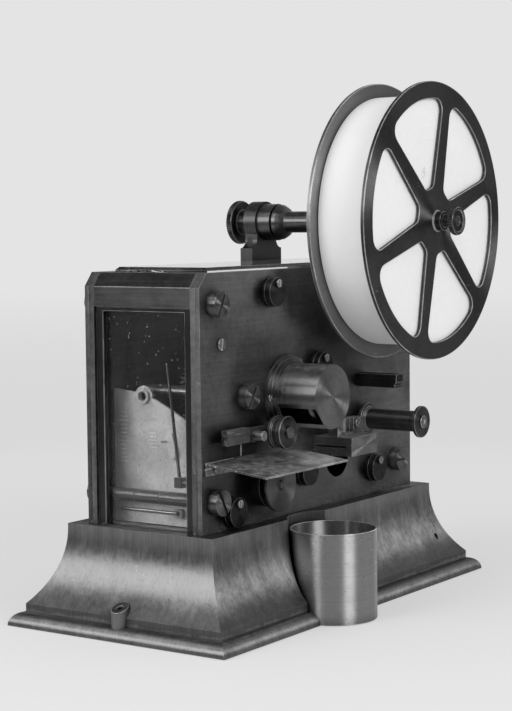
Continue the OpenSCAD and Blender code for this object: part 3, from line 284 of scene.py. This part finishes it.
def metal(name, tone, rough=0.38, grain="x", lines=0.35, stretch=0.85, clouds=0.35, cloud_scale=35.0,
          scratched=0.25, specked=0.12, dusty=0.25, band=0.0, line_scale=900.0, worn=WORN, dents=0.0,
          corners=0.6, corner_shade_reach=8.0, matt=0.0, shade_band_heights=None):
    """Old metal that was brushed along x, y or z, or turned about y ("turned_y") or z ("turned_z").

    tone is the metal's own brightness. The grooves stretch the highlights across them, the sawn ends of
    the grooves are darker, and clouds, scratches, specks and dust break the surface up. Painted shade
    darkens the corners by the share given, where another surface is within the reach given in millimetres.
    matt is the share of the surface that scatters light evenly. The last argument gives four heights in
    millimetres for a band of painted shade: the metal darkens from the first to the second and clears again
    from the third to the fourth.
    """
    material, tree, surface = blank_material(name)
    place = put(tree, "TexCoord").outputs["Object"]
    normal = put(tree, "NewGeometry").outputs["Normal"]
    way, streak, sawn = groove_pattern(tree, grain, place, normal, line_scale)
    world_way = put(tree, "VectorTransform", {0: way}, vector_type="VECTOR",
                    convert_from="OBJECT", convert_to="WORLD").outputs[0]
    tree.links.new(vec(tree, "CROSS_PRODUCT", normal, world_way), surface.inputs["Tangent"])
    surface.inputs["Anisotropic"].default_value = stretch

    cloud = use(tree, PATINA, {"Vector": place, "Scale": cloud_scale})["Tone"]
    marks = use(tree, SCRATCHES, {"Vector": place, "Scale": 700.0, "Amount": scratched})["Mask"]
    spots = use(tree, SPECKS, {"Vector": place, "Scale": 800.0, "Amount": specked})["Mask"]
    up = put(tree, "SeparateXYZ", {0: normal}).outputs[2]
    dust = use(tree, SETTLED_DUST, {"Vector": place, "Up": up, "Floor": CASE_Z * MM, "Band": 0.007})
    lying = calc(tree, "MULTIPLY", dust["Lying"], dusty)
    # A ragged band just above the case's foot turns dark and dull, with light crumbs in it
    foot_band_mask = calc(tree, "MULTIPLY", dust["Band"], band)
    crumbs = use(tree, SPECKS, {"Vector": place, "Scale": 650.0, "Amount": 0.7})["Mask"]
    crumbs = calc(tree, "MULTIPLY", calc(tree, "MULTIPLY", crumbs, dust["Band"]), min(1.0, band * 1.5))

    shade = calc(tree, "MULTIPLY_ADD", calc(tree, "SUBTRACT", cloud, 0.5), clouds, 1.0)
    shade = calc(tree, "MULTIPLY", shade, calc(tree, "MULTIPLY_ADD", streak, lines * 0.7, 1 - lines * 0.35))
    shade = calc(tree, "MULTIPLY", shade, calc(tree, "SUBTRACT", 1.0, sawn))
    # Painted shade: ambient occlusion darkens the colour where other surfaces are near
    open_sky = put(tree, "AmbientOcclusion", {"Distance": corner_shade_reach * MM}, samples=4).outputs["AO"]
    shade = calc(tree, "MULTIPLY", shade, remap(tree, open_sky, 0.35, 0.9, 1.0 - corners, 1.0))
    # Painted shade in a band of heights, which darkens the base low on its cove
    if shade_band_heights:
        shade = painted_shade_band(tree, shade, place, cloud, shade_band_heights)
    value = calc(tree, "MULTIPLY", shade, tone)
    for mask, level in [(calc(tree, "MULTIPLY", marks, 0.6), tone * worn),
                        (calc(tree, "MULTIPLY", spots, 0.6), tone * 0.35),
                        (lying, 0.2), (foot_band_mask, 0.03), (crumbs, 0.4)]:
        value = blend_values(tree, mask, value, level)
    tree.links.new(grey(tree, value), surface.inputs["Base Color"])

    covered = calc(tree, "MAXIMUM", lying, foot_band_mask)
    surface.inputs["Metallic"].default_value = 1.0 - matt
    if dusty or band:
        metallic = calc(tree, "MULTIPLY_ADD", covered, matt - 1.0, 1.0 - matt)
        tree.links.new(metallic, surface.inputs["Metallic"])
    gloss = calc(tree, "MULTIPLY_ADD", calc(tree, "SUBTRACT", cloud, 0.5), 0.12, rough)
    gloss = calc(tree, "MULTIPLY_ADD", streak, 0.08, gloss)
    tree.links.new(blend_values(tree, covered, gloss, 0.8), surface.inputs["Roughness"])

    relief = calc(tree, "MULTIPLY_ADD", marks, -1.0, calc(tree, "MULTIPLY", streak, lines))
    bump = put(tree, "Bump", {"Strength": 0.35, "Distance": 0.00006, "Height": relief})
    if dents:
        hollow = noise(tree, place, 140.0, 2.0, 0.5)
        under = put(tree, "Bump", {"Strength": dents, "Distance": 0.0004, "Height": hollow})
        tree.links.new(under.outputs[0], bump.inputs["Normal"])
    tree.links.new(bump.outputs[0], surface.inputs["Normal"])
    return material


def glass(name, haze, edge=False):
    """Clear plate glass with a film of dust, or its rougher ground edge. Shadow rays pass through, so that
    the lamps light what is behind it."""
    material, tree, surface = blank_material(name)
    place = put(tree, "TexCoord").outputs["Object"]
    surface.inputs["Transmission Weight"].default_value = 1.0
    surface.inputs["IOR"].default_value = 1.5
    surface.inputs["Base Color"].default_value = (0.93, 0.93, 0.93, 1.0)
    film = use(tree, SPECKS, {"Vector": place, "Scale": 700.0, "Amount": 0.1})["Mask"]
    cloud = use(tree, PATINA, {"Vector": place, "Scale": 60.0})["Tone"]
    tree.links.new(calc(tree, "MULTIPLY_ADD", cloud, 0.1 if edge else 0.02, 0.18 if edge else 0.0),
                   surface.inputs["Roughness"])
    dust = put(tree, "BsdfDiffuse", {"Color": (0.6, 0.6, 0.6, 1.0)})
    amount = calc(tree, "MULTIPLY_ADD", film, 0.35, calc(tree, "MULTIPLY", cloud, haze))
    dusty = put(tree, "MixShader", {0: amount, 1: surface.outputs[0], 2: dust.outputs[0]})
    clear = put(tree, "BsdfTransparent", {"Color": (0.85, 0.85, 0.85, 1.0)})
    shadow = put(tree, "LightPath").outputs["Is Shadow Ray"]
    whole = put(tree, "MixShader", {0: shadow, 1: dusty.outputs[0], 2: clear.outputs[0]})
    output = next(n for n in tree.nodes if n.type == "OUTPUT_MATERIAL")
    tree.links.new(whole.outputs[0], output.inputs["Surface"])
    return material


def paper(name):
    """Wound tape: matt white, with the thin grey lines of its turns on the edges and faint soiling."""
    material, tree, surface = blank_material(name)
    place = put(tree, "TexCoord").outputs["Object"]
    centre = put(tree, "Attribute", attribute_name="axis_place").outputs["Vector"]
    local = vec(tree, "SUBTRACT", place, centre)
    across = vec(tree, "MULTIPLY", local, (1.0, 0.0, 1.0))
    radius = put(tree, "VectorMath", {0: across}, operation="LENGTH").outputs["Value"]
    turns = use(tree, TURNING, {"Radius": radius, "Along": 0.0, "Scale": 2600.0})["Lines"]
    cloud = use(tree, PATINA, {"Vector": place, "Scale": 30.0})["Tone"]
    spots = use(tree, SPECKS, {"Vector": place, "Scale": 90.0, "Amount": 0.04})["Mask"]
    value = calc(tree, "MULTIPLY_ADD", turns, 0.05, 0.74)
    value = calc(tree, "MULTIPLY_ADD", cloud, 0.03, value)
    value = blend_values(tree, calc(tree, "MULTIPLY", spots, 0.35), value, 0.45)
    tree.links.new(grey(tree, value), surface.inputs["Base Color"])
    surface.inputs["Roughness"].default_value = 0.75
    surface.inputs["Specular IOR Level"].default_value = 0.25
    bump = put(tree, "Bump", {"Strength": 0.4, "Distance": 0.0001, "Height": turns})
    tree.links.new(bump.outputs[0], surface.inputs["Normal"])
    return material


def plain(name, tone, rough, scale, spread, metallic=0.0, bump=0.3):
    """A quiet uneven surface: wood, wound silk, the scale plate's dull metal or the paint of its ticks."""
    material, tree, surface = blank_material(name)
    place = put(tree, "TexCoord").outputs["Object"]
    cloud = use(tree, PATINA, {"Vector": place, "Scale": scale})["Tone"]
    value = calc(tree, "MULTIPLY_ADD", calc(tree, "SUBTRACT", cloud, 0.5), spread * tone, tone)
    tree.links.new(grey(tree, value), surface.inputs["Base Color"])
    surface.inputs["Roughness"].default_value = rough
    surface.inputs["Metallic"].default_value = metallic
    relief = put(tree, "Bump", {"Strength": bump, "Distance": 0.0002, "Height": cloud})
    tree.links.new(relief.outputs[0], surface.inputs["Normal"])
    return material


# What each finish sets of metal()
METALS = {
    # The base's band of painted shade: darkest from 11 to 17 mm up, eased out to 9 and 27 mm
    "base": dict(tone=0.32, rough=0.4, grain="z", lines=0.55, stretch=0.9, clouds=0.3, scratched=0.2,
                 specked=0.4, dusty=0.2, dents=0.2, line_scale=750.0, worn=2.6,
                 shade_band_heights=(9.0, 11.0, 17.0, 27.0)),
    # The front plates' painted shade reaches 30 mm out from the parts near them
    "front": dict(tone=0.27, rough=0.38, grain="x", lines=0.4, clouds=0.6, scratched=0.3, specked=0.3,
                  dusty=0.1, band=0.6, dents=0.1, worn=1.8, corners=0.6, corner_shade_reach=30.0),
    "rail": dict(tone=0.1, rough=0.32, grain="y", lines=0.3, clouds=0.2, band=0.3, dusty=0.1, worn=2.2,
                 stretch=0.3),
    "bead": dict(tone=0.09, rough=0.36, grain="z", lines=0.3, clouds=0.2, band=0.4, worn=3.0),
    "dark": dict(tone=0.1, rough=0.4, grain="z", lines=0.3),
    "screw": dict(tone=0.22, rough=0.34, grain="turned_y", lines=0.6, stretch=0.97, clouds=0.4,
                  cloud_scale=120.0, worn=1.5),
    "small_screw": dict(tone=0.35, rough=0.34, grain="turned_y", lines=0.4, clouds=0.5, cloud_scale=200.0),
    "cap": dict(tone=0.045, rough=0.34, grain="turned_y", lines=0.3, clouds=0.3, cloud_scale=80.0,
                worn=3.5),
    "drum": dict(tone=0.32, rough=0.3, grain="turned_y", lines=0.35, stretch=0.93, clouds=0.25, worn=3.0),
    "table": dict(tone=0.62, rough=0.42, grain="x", lines=0.4, clouds=1.5, cloud_scale=30.0, worn=2.4,
                  scratched=0.6, specked=0.3, dusty=0.2),
    "block": dict(tone=0.65, rough=0.42, grain="y", lines=0.4, clouds=0.3, scratched=0.4),
    "bar": dict(tone=0.1, rough=0.4, grain="y", lines=0.4, clouds=0.5, scratched=0.5, worn=4.0),
    "spool": dict(tone=0.11, rough=0.34, grain="turned_y", lines=0.4, clouds=0.3, worn=2.6),
    "arm": dict(tone=0.3, rough=0.42, grain="x", lines=0.4, clouds=0.6, cloud_scale=140.0, scratched=0.6),
    "wheel": dict(tone=0.17, rough=0.42, grain="turned_y", lines=0.3, clouds=0.3, worn=1.6),
    "spindle": dict(tone=0.2, rough=0.34, grain="turned_y", lines=0.35, clouds=0.3),
    "knob": dict(tone=0.08, rough=0.34, grain="turned_y", lines=0.35, stretch=0.93, clouds=0.3, worn=3.0),
    "bracket": dict(tone=0.16, rough=0.42, grain="z", lines=0.3),
    "flange": dict(tone=0.14, rough=0.47, grain="turned_y", lines=0.3, stretch=0.96, clouds=0.5,
                   scratched=0.35, specked=0.3, worn=4.0),
    "flange_back": dict(tone=0.3, rough=0.42, grain="turned_y", lines=0.15, stretch=0.8, clouds=0.3,
                        scratched=0.2, worn=1.8),
    "cup": dict(tone=0.5, rough=0.36, grain="turned_z", lines=0.25, stretch=0.95, clouds=0.2,
                cloud_scale=60.0, scratched=0.5, specked=0.5, dusty=0.1, worn=1.5),
    "lug": dict(tone=0.3, rough=0.42, grain="z", lines=0.3, clouds=0.4),
    "pillar": dict(tone=0.33, rough=0.3, grain="turned_y", lines=0.3, stretch=0.8),
    "steel": dict(tone=0.4, rough=0.3, grain="turned_y", lines=0.3, stretch=0.7),
    "brass": dict(tone=0.35, rough=0.34, grain="turned_y", lines=0.4),
    "iron": dict(tone=0.12, rough=0.45, grain="x", lines=0.2),
}
made = {}


def finish_of(name):
    """The named metal and its worn edge, made once."""
    if name not in made:
        look = METALS[name]
        bright = min(look["tone"] * look.get("worn", WORN) * 0.8, 0.8)
        # The edge is lighter and partly matt, with weaker painted shade in its corners
        edge = dict(look, tone=bright, scratched=0.0, dents=0.0, clouds=0.9, cloud_scale=90.0, dusty=0.0,
                    matt=0.45, corners=0.3)
        made[name] = (metal(name, **look), metal(name + "_edge", **edge))
    return made[name]


# Dressed CAD nodes


def joined_mesh(node):
    """A copy of a CAD node's mesh with its loose triangles merged and its flat faces made whole."""
    mesh = frame["nodes"][node].data.copy()
    shape = bmesh.new()
    shape.from_mesh(mesh)
    bmesh.ops.remove_doubles(shape, verts=shape.verts, dist=2e-6)
    bmesh.ops.dissolve_limit(shape, angle_limit=math.radians(0.3), verts=shape.verts, edges=shape.edges)
    for face in shape.faces:
        face.smooth = True
        face.material_index = 0
    shape.to_mesh(mesh)
    shape.free()
    return mesh


def solids_of(mesh):
    """For each vertex, the lowest vertex number that it reaches along edges, which names its solid."""
    edges = np.empty(len(mesh.edges) * 2, np.int32)
    mesh.edges.foreach_get("vertices", edges)
    a, b = edges.reshape(-1, 2).T
    label = np.arange(len(mesh.vertices))
    while True:
        low = np.minimum(label[a], label[b])
        nearer = label.copy()
        np.minimum.at(nearer, a, low)
        np.minimum.at(nearer, b, low)
        nearer = nearer[nearer]
        if (nearer == label).all():
            return label
        label = nearer


def mark_axes(mesh):
    """Writes the middle of each solid's box on its vertices, as the place of its turning axis."""
    points = np.empty(len(mesh.vertices) * 3, np.float32)
    mesh.vertices.foreach_get("co", points)
    points = points.reshape(-1, 3)
    label = solids_of(mesh)
    places = np.zeros_like(points)
    for name in np.unique(label):
        own = label == name
        places[own] = (points[own].min(0) + points[own].max(0)) / 2
    layer = mesh.attributes.new("axis_place", "FLOAT_VECTOR", "POINT")
    layer.data.foreach_set("vector", places.ravel())


def soften(piece, width):
    """Rounds the edges by width millimetres and evens the normals of the large faces."""
    if width:
        bevel = piece.modifiers.new("round", "BEVEL")
        bevel.width = width * MM
        bevel.segments = 2
        bevel.limit_method = "ANGLE"
        bevel.angle_limit = math.radians(32)
        bevel.material = 1
    even = piece.modifiers.new("even", "WEIGHTED_NORMAL")
    even.keep_sharp = True
    even.weight = 80


def place_piece(name, mesh, body, materials):
    """Puts a finished mesh into the scene with its materials and ties it to its body."""
    piece = bpy.data.objects.new(name, mesh)
    scene.collection.objects.link(piece)
    mesh.materials.clear()
    for material in materials:
        mesh.materials.append(material)
    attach(piece, body)
    return piece


def dress(node, materials, width):
    """A softened copy of a CAD node, which stands for the node. It has two materials: one for its faces and
    one for its rounded edges, which are width millimetres wide."""
    mesh = joined_mesh(node)
    mark_axes(mesh)
    piece = place_piece(node + "_dressed", mesh, body_of_node[node], materials)
    soften(piece, width)
    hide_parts(node)


# Each CAD node's metal and the width of its rounded edges in millimetres
DRESSED = {
    "base_moulding": ("base", 0.45), "base_plate": ("dark", 0.2),
    "base_plate_screws": ("small_screw", 0.1), "hold_down_lugs": ("lug", 0.25),
    "front_plate": ("front", 0.4), "back_plate": ("front", 0.4), "left_end_rail": ("rail", 0.3),
    "glazing_bead": ("bead", 0.5), "right_end_plate": ("front", 0.3), "top_rear_bar": ("front", 0.3),
    "case_pillars": ("pillar", 0.1), "front_pillar_screws": ("screw", 0.4),
    "back_pillar_screws": ("screw", 0.4), "small_plate_screws": ("small_screw", 0.2),
    "oil_cap_seats": ("cap", 0.2), "oil_cap_screws": ("small_screw", 0.2), "oil_cap_upper": ("cap", 0.35),
    "oil_cap_drum": ("cap", 0.35), "oil_cap_centre": ("cap", 0.35), "oil_cap_right": ("cap", 0.35),
    "oil_cap_left": ("cap", 0.35), "winding_boss": ("cap", 0.4), "drum_cover": ("drum", 0.3),
    "drum_cover_screws": ("small_screw", 0.15), "tape_table": ("table", 0.15),
    "tape_block": ("block", 0.25), "tape_gate": ("block", 0.25), "guide_bar": ("bar", 0.4),
    "guide_spool_stud": ("steel", 0.2), "guide_spool": ("spool", 0.35), "arm_pivot_stud": ("steel", 0.3),
    "roller_arm": ("arm", 0.25), "pressure_roller": ("spool", 0.4), "setting_wheel_bush": ("cap", 0.3),
    "setting_wheel": ("wheel", 0.0), "reel_bracket": ("bracket", 0.4),
    "bracket_screws": ("small_screw", 0.15), "reel_spindle": ("spindle", 0.3), "rear_knob": ("knob", 0.6),
    "reel_back_flange": ("flange_back", 0.5), "reel_front_flange": ("flange", 0.6),
    "thumb_nut": ("knob", 0.4), "cup": ("cup", 0.3), "spring_barrel": ("brass", 0.1),
    "mainspring": ("steel", 0.0), "winding_arbor": ("steel", 0.2), "second_arbor": ("brass", 0.1),
    "third_arbor": ("brass", 0.1), "marking_arbor": ("brass", 0.1), "fly_arbor": ("brass", 0.1),
    "magnet_yoke": ("iron", 0.2), "armature": ("iron", 0.2), "signal_rod": ("steel", 0.15),
    "terminal_posts": ("brass", 0.3),
}
for node, (look, width) in DRESSED.items():
    dress(node, finish_of(look), width)

side_glass = glass("side_glass", 0.01)
top_glass = glass("top_glass", 0.04)
ground_edge = glass("ground_edge", 0.25, edge=True)
dress("side_glass", [side_glass, ground_edge], 0.0)
dress("top_glass", [top_glass, ground_edge], 0.15)
dress("paper_roll", [paper("paper"), paper("paper_edge")], 0.25)
dress("scale_plate", [plain("scale_metal", 0.5, 0.55, 70.0, 0.5, metallic=0.3)] * 2, 0.1)
dress("reel_core_tube", [plain("core_wood", 0.25, 0.6, 60.0, 0.4)] * 2, 0.2)
dress("magnet_coils", [plain("wound_silk", 0.05, 0.7, 500.0, 0.6)] * 2, 0.2)


# Small pieces of their own


def grid_surface(grid, round_rows=True):
    """Points and faces of a surface given as rows by columns by xyz: its columns close round, and so do
    its rows with round_rows."""
    rows, columns = grid.shape[:2]
    row, column = np.indices((rows if round_rows else rows - 1, columns))
    here, below = row * columns, (row + 1) % rows * columns
    beside = (column + 1) % columns
    corners = [here + column, here + beside, below + beside, below + column]
    return grid.reshape(-1, 3), np.stack(corners, -1).reshape(-1, 4)


def mesh_of(name, surfaces):
    """One mesh of surfaces given in millimetres, with doubles merged and all faces turned outwards."""
    counts = [len(points) for points, faces in surfaces]
    firsts = np.cumsum([0] + counts[:-1])
    points = np.concatenate([points for points, faces in surfaces]) * MM
    faces = np.concatenate([faces + first for first, (_, faces) in zip(firsts, surfaces)])
    mesh = bpy.data.meshes.new(name)
    mesh.from_pydata(points.tolist(), [], faces.tolist())
    shape = bmesh.new()
    shape.from_mesh(mesh)
    bmesh.ops.remove_doubles(shape, verts=shape.verts, dist=1e-6)
    bmesh.ops.recalc_face_normals(shape, faces=shape.faces)
    shape.to_mesh(mesh)
    shape.free()
    return mesh


def ridged_band(node, look, low_y, high_y, radius, ridges, height=0.3):
    """Knurling round an axis along y: the profile (place along y, radius) turned through 2 * ridges steps,
    where every second step is height millimetres farther out. Its ends are eased down to an inner edge."""
    depth, dip, ease = 0.8, 0.15, 0.5
    low, high = size_of(node)
    middle = (low + high) / 2
    angle = np.arange(2 * ridges) * math.pi / ridges
    crest = radius + height * (np.arange(2 * ridges) % 2)
    inner, eased = crest * 0 + radius - depth, crest - height - dip
    out = np.stack([inner, eased, crest, crest, eased, inner])
    along = np.array([low_y, low_y, low_y + ease, high_y - ease, high_y, high_y])
    along = np.broadcast_to(along[:, None], out.shape)
    grid = np.stack([middle[0] + out * np.cos(angle), along, middle[2] + out * np.sin(angle)], -1)
    mesh = mesh_of(node + "_knurl", [grid_surface(grid)])
    layer = mesh.attributes.new("axis_place", "FLOAT_VECTOR", "POINT")
    layer.data.foreach_set("vector", np.tile(middle * MM, (len(mesh.vertices), 1)).ravel())
    return place_piece(node + "_knurl", mesh, body_of_node[node], finish_of(look))


def square_bars(middles, sizes):
    """Points and faces of square bars: each one's middle, plus its sizes times a unit cube's corners."""
    unit = np.indices((2, 2, 2)).reshape(3, 8).T - 0.5
    sides = np.array([(0, 1, 3, 2), (4, 6, 7, 5), (0, 4, 5, 1), (2, 3, 7, 6), (0, 2, 6, 4), (1, 5, 7, 3)])
    points = middles[:, None, :] + sizes[:, None, :] * unit
    faces = 8 * np.arange(len(middles))[:, None, None] + sides
    return points.reshape(-1, 3), faces.reshape(-1, 4)


def add_scale_marks():
    """Two rows of light ticks on the scale plate: every fifth of the long row and every second of the
    short one reach farther."""
    thick, tall, proud = 0.16, 0.35, 0.13
    x = size_of("scale_plate")[0][0] + BUSH_REACH + thick / 2 - proud
    rows = [dict(count=13, y=25.8, z=87.0, step=2.2, every=5, long=7.0, short=4.2),
            dict(count=5, y=6.3, z=95.6, step=1.9, every=2, long=5.2, short=3.4)]
    surfaces = []
    for row in rows:
        tick = np.arange(row["count"])
        same = np.ones(row["count"])
        middles = np.stack([x * same, row["y"] * same, row["z"] + row["step"] * tick], 1)
        wide = np.where(tick % row["every"] == 0, row["long"], row["short"])
        surfaces.append(square_bars(middles, np.stack([thick * same, wide, tall * same], 1)))
    paint = plain("tick_filling", 0.75, 0.6, 200.0, 0.8)
    mesh = mesh_of("scale_marks", surfaces)
    place_piece("scale_marks", mesh, "frame", [paint])


def add_lower_rod():
    """A thin round rod along the foot of the scale plate, with a pierced square block at its near end.

    The rod is the profile (end centre, rim, rim, end centre) turned about y. The block is a circle and a
    square round it, where the square's reach is its half side divided by the larger of |cos| and |sin|.
    """
    near_y, far_y, radius, rise = -9.0, 27.0, 0.9, 7.3
    side, hole, half_thick = 4.6, 1.3, 1.6
    x, z = size_of("scale_plate")[0][0] + BUSH_REACH - radius, CASE_Z + rise
    angle = np.arange(12) * math.pi / 6
    out = np.array([0.0, radius, radius, 0.0])[:, None] + 0 * angle
    along = np.array([near_y, near_y, far_y, far_y])[:, None] + 0 * angle
    rod = np.stack([x + out * np.cos(angle), along, z + out * np.sin(angle)], -1)
    angle = (np.arange(16) + 0.5) * math.pi / 8
    square = side / 2 / np.maximum(np.abs(np.cos(angle)), np.abs(np.sin(angle)))
    out = np.stack([0 * angle + hole, square, square, 0 * angle + hole])
    thick = np.array([-half_thick, -half_thick, half_thick, half_thick])[:, None] + 0 * angle
    block = np.stack([x + thick, near_y - side / 2 + out * np.cos(angle), z + out * np.sin(angle)], -1)
    mesh = mesh_of("lower_rod", [grid_surface(rod, round_rows=False), grid_surface(block)])
    mark_axes(mesh)
    place_piece("lower_rod", mesh, "frame", finish_of("pillar"))


nut_low, nut_high = size_of("thumb_nut")
knob_low, knob_high = size_of("rear_knob")
nut_radius = (nut_high[0] - nut_low[0]) / 2
knob_radius = (knob_high[0] - knob_low[0]) / 2
ridged_band("thumb_nut", "knob", nut_low[1] + 0.3, nut_low[1] + 3.0, nut_radius, ridges=44)
ridged_band("rear_knob", "knob", knob_high[1] - 3.6, knob_high[1] - 0.4, knob_radius, ridges=60)
add_scale_marks()
add_lower_rod()

# Stage, light and camera

# How bright the backdrop is, the dim room that metal also mirrors, and the light from all round
BACKGROUND = 0.775
ROOM = 0.16
WORLD_LIGHT = 0.62
# From the middle to the floor's edges, in metres
FLOOR_REACH = 6.0
# The camera's heading from +X towards +Y: it looks past the object at the backdrop
CAMERA_YAW = math.radians(34.57)
BACKDROP_WAY = (math.cos(CAMERA_YAW), math.sin(CAMERA_YAW), 0.0)


def toward_backdrop(tree, way):
    """1 where a direction looks at the pale backdrop behind the object, 0 where it looks into the room."""
    level = vec(tree, "NORMALIZE", vec(tree, "MULTIPLY", way, (1.0, 1.0, 0.0)))
    side = put(tree, "VectorMath", {0: level, 1: BACKDROP_WAY}, operation="DOT_PRODUCT").outputs["Value"]
    return remap(tree, side, 0.6, 0.85)


def kinds_of_ray(tree):
    """Two masks: rays that see the surroundings straight or through glass, and rays off metal or out of
    the case, which see the backdrop and the room."""
    seen = put(tree, "LightPath").outputs
    other = calc(tree, "SUBTRACT", seen["Ray Depth"], seen["Transmission Depth"])
    straight = calc(tree, "MULTIPLY", seen["Is Transmission Ray"], calc(tree, "LESS_THAN", other, 0.5))
    direct = calc(tree, "MAXIMUM", seen["Is Camera Ray"], straight)
    return direct, calc(tree, "MAXIMUM", seen["Is Glossy Ray"], seen["Is Transmission Ray"])


def make_floor():
    """A wide pale floor. Near the object it is half lit surface, so it keeps the shadow. With distance it
    dips a little and then fades into the background colour. Metal sees it end in the dim room."""
    mesh = bpy.data.meshes.new("floor")
    corners = [(x * FLOOR_REACH, y * FLOOR_REACH, -0.3 * MM) for x, y in [(-1, -1), (1, -1), (1, 1), (-1, 1)]]
    mesh.from_pydata(corners, [], [(0, 1, 2, 3)])
    floor = bpy.data.objects.new("floor", mesh)
    scene.collection.objects.link(floor)
    material = bpy.data.materials.new("floor")
    material.use_nodes = True
    tree = material.node_tree
    tree.nodes.clear()
    place = put(tree, "TexCoord").outputs["Object"]
    reach = put(tree, "VectorMath", {0: place}, operation="LENGTH").outputs["Value"]
    lit = remap(tree, reach, 0.25, 0.7, 0.5, 0.0)
    matt = put(tree, "BsdfDiffuse", {"Color": (0.74, 0.74, 0.74, 1.0)})
    # Painted shade: the glow dips a little between about 0.3 and 4.5 m out from the middle
    dip = calc(tree, "MULTIPLY", remap(tree, reach, 0.3, 0.8), remap(tree, reach, 4.5, 1.0))
    glow = put(tree, "Emission", {"Color": grey(tree, calc(tree, "MULTIPLY_ADD", dip, -0.08, BACKGROUND))})
    shown = put(tree, "MixShader", {0: lit, 1: glow.outputs[0], 2: matt.outputs[0]})
    far = blend_values(tree, toward_backdrop(tree, place), ROOM, BACKGROUND)
    dim = put(tree, "Emission", {"Color": grey(tree, far)})
    near = remap(tree, reach, 0.25, 0.9, 0.6, 0.0)
    mirrored = put(tree, "MixShader", {0: near, 1: dim.outputs[0], 2: matt.outputs[0]})
    direct, bounced = kinds_of_ray(tree)
    first = put(tree, "MixShader", {0: bounced, 1: matt.outputs[0], 2: mirrored.outputs[0]})
    whole = put(tree, "MixShader", {0: direct, 1: first.outputs[0], 2: shown.outputs[0]})
    output = put(tree, "OutputMaterial")
    tree.links.new(whole.outputs[0], output.inputs["Surface"])
    # Only rays that meet the floor see its glow, so that each kind of ray gets the colour meant for it
    material.cycles.emission_sampling = "NONE"
    mesh.materials.append(material)


def make_world():
    """Pale for the camera and through glass. Metal sees the pale backdrop behind the object and a dim
    room elsewhere."""
    world = bpy.data.worlds.new("studio")
    world.use_nodes = True
    tree = world.node_tree
    tree.nodes.clear()
    way = put(tree, "TexCoord").outputs["Generated"]
    height = put(tree, "SeparateXYZ", {0: way}).outputs[2]
    pale = calc(tree, "MULTIPLY", toward_backdrop(tree, way), remap(tree, height, 0.7, 0.4))
    mirrored = blend_values(tree, pale, remap(tree, height, 0.3, 0.75, ROOM, ROOM * 0.5), BACKGROUND)
    direct, bounced = kinds_of_ray(tree)
    level = blend_values(tree, bounced, WORLD_LIGHT, mirrored)
    level = blend_values(tree, direct, level, BACKGROUND)
    back = put(tree, "Background", {"Color": grey(tree, level), "Strength": 1.0})
    output = put(tree, "OutputWorld")
    tree.links.new(back.outputs[0], output.inputs["Surface"])
    world.cycles.sampling_method = "NONE"
    scene.world = world


AIM = Vector((0.0, 0.0, 0.12))


def softbox(name, azimuth, elevation, distance, width, height, radiance):
    """A rectangular lamp that looks at the object from distance metres away; azimuth 0 is in front of the
    plate, 90 on its right. radiance is how bright its face is, where white is 1."""
    lamp = bpy.data.lights.new(name, "AREA")
    lamp.shape = "RECTANGLE"
    lamp.size = width
    lamp.size_y = height
    lamp.energy = radiance * math.pi * width * height
    holder = bpy.data.objects.new(name, lamp)
    a, e = math.radians(azimuth), math.radians(elevation)
    away = Vector((math.sin(a) * math.cos(e), -math.cos(a) * math.cos(e), math.sin(e)))
    holder.location = AIM + away * distance
    holder.rotation_euler = away.to_track_quat("Z", "Y").to_euler()
    scene.collection.objects.link(holder)


def make_camera():
    """The photograph's viewpoint, from the fit of the object's straight edges and circles."""
    place = Vector((-0.84726, -0.58219, 0.21887))
    pitch, roll = math.radians(4.328), math.radians(-0.5886)
    ahead = Vector(BACKDROP_WAY) * math.cos(pitch) - Vector((0.0, 0.0, math.sin(pitch)))
    right = ahead.cross(Vector((0, 0, 1))).normalized()
    up = right.cross(ahead)
    right, up = (right * math.cos(roll) + up * math.sin(roll), up * math.cos(roll) - right * math.sin(roll))
    camera = bpy.data.cameras.new("camera")
    camera.sensor_width = 36.0
    camera.lens = 91.32
    camera.shift_y = -0.00629
    camera.clip_end = 50.0
    holder = bpy.data.objects.new("camera", camera)
    holder.matrix_world = Matrix.Translation(place) @ Matrix((right, up, -ahead)).transposed().to_4x4()
    scene.collection.objects.link(holder)
    scene.camera = holder


make_floor()
make_world()
softbox("left_window", -110, 21, 1.15, 0.76, 0.5, 4.1)
softbox("left_high", -98, 50, 1.15, 0.4, 0.42, 3.0)
softbox("front_window", -14, 24, 1.15, 0.5, 0.44, 7.2)
softbox("right_fill", 55, 40, 1.4, 0.9, 1.0, 0.4)
make_camera()
scene.view_settings.view_transform = "Standard"
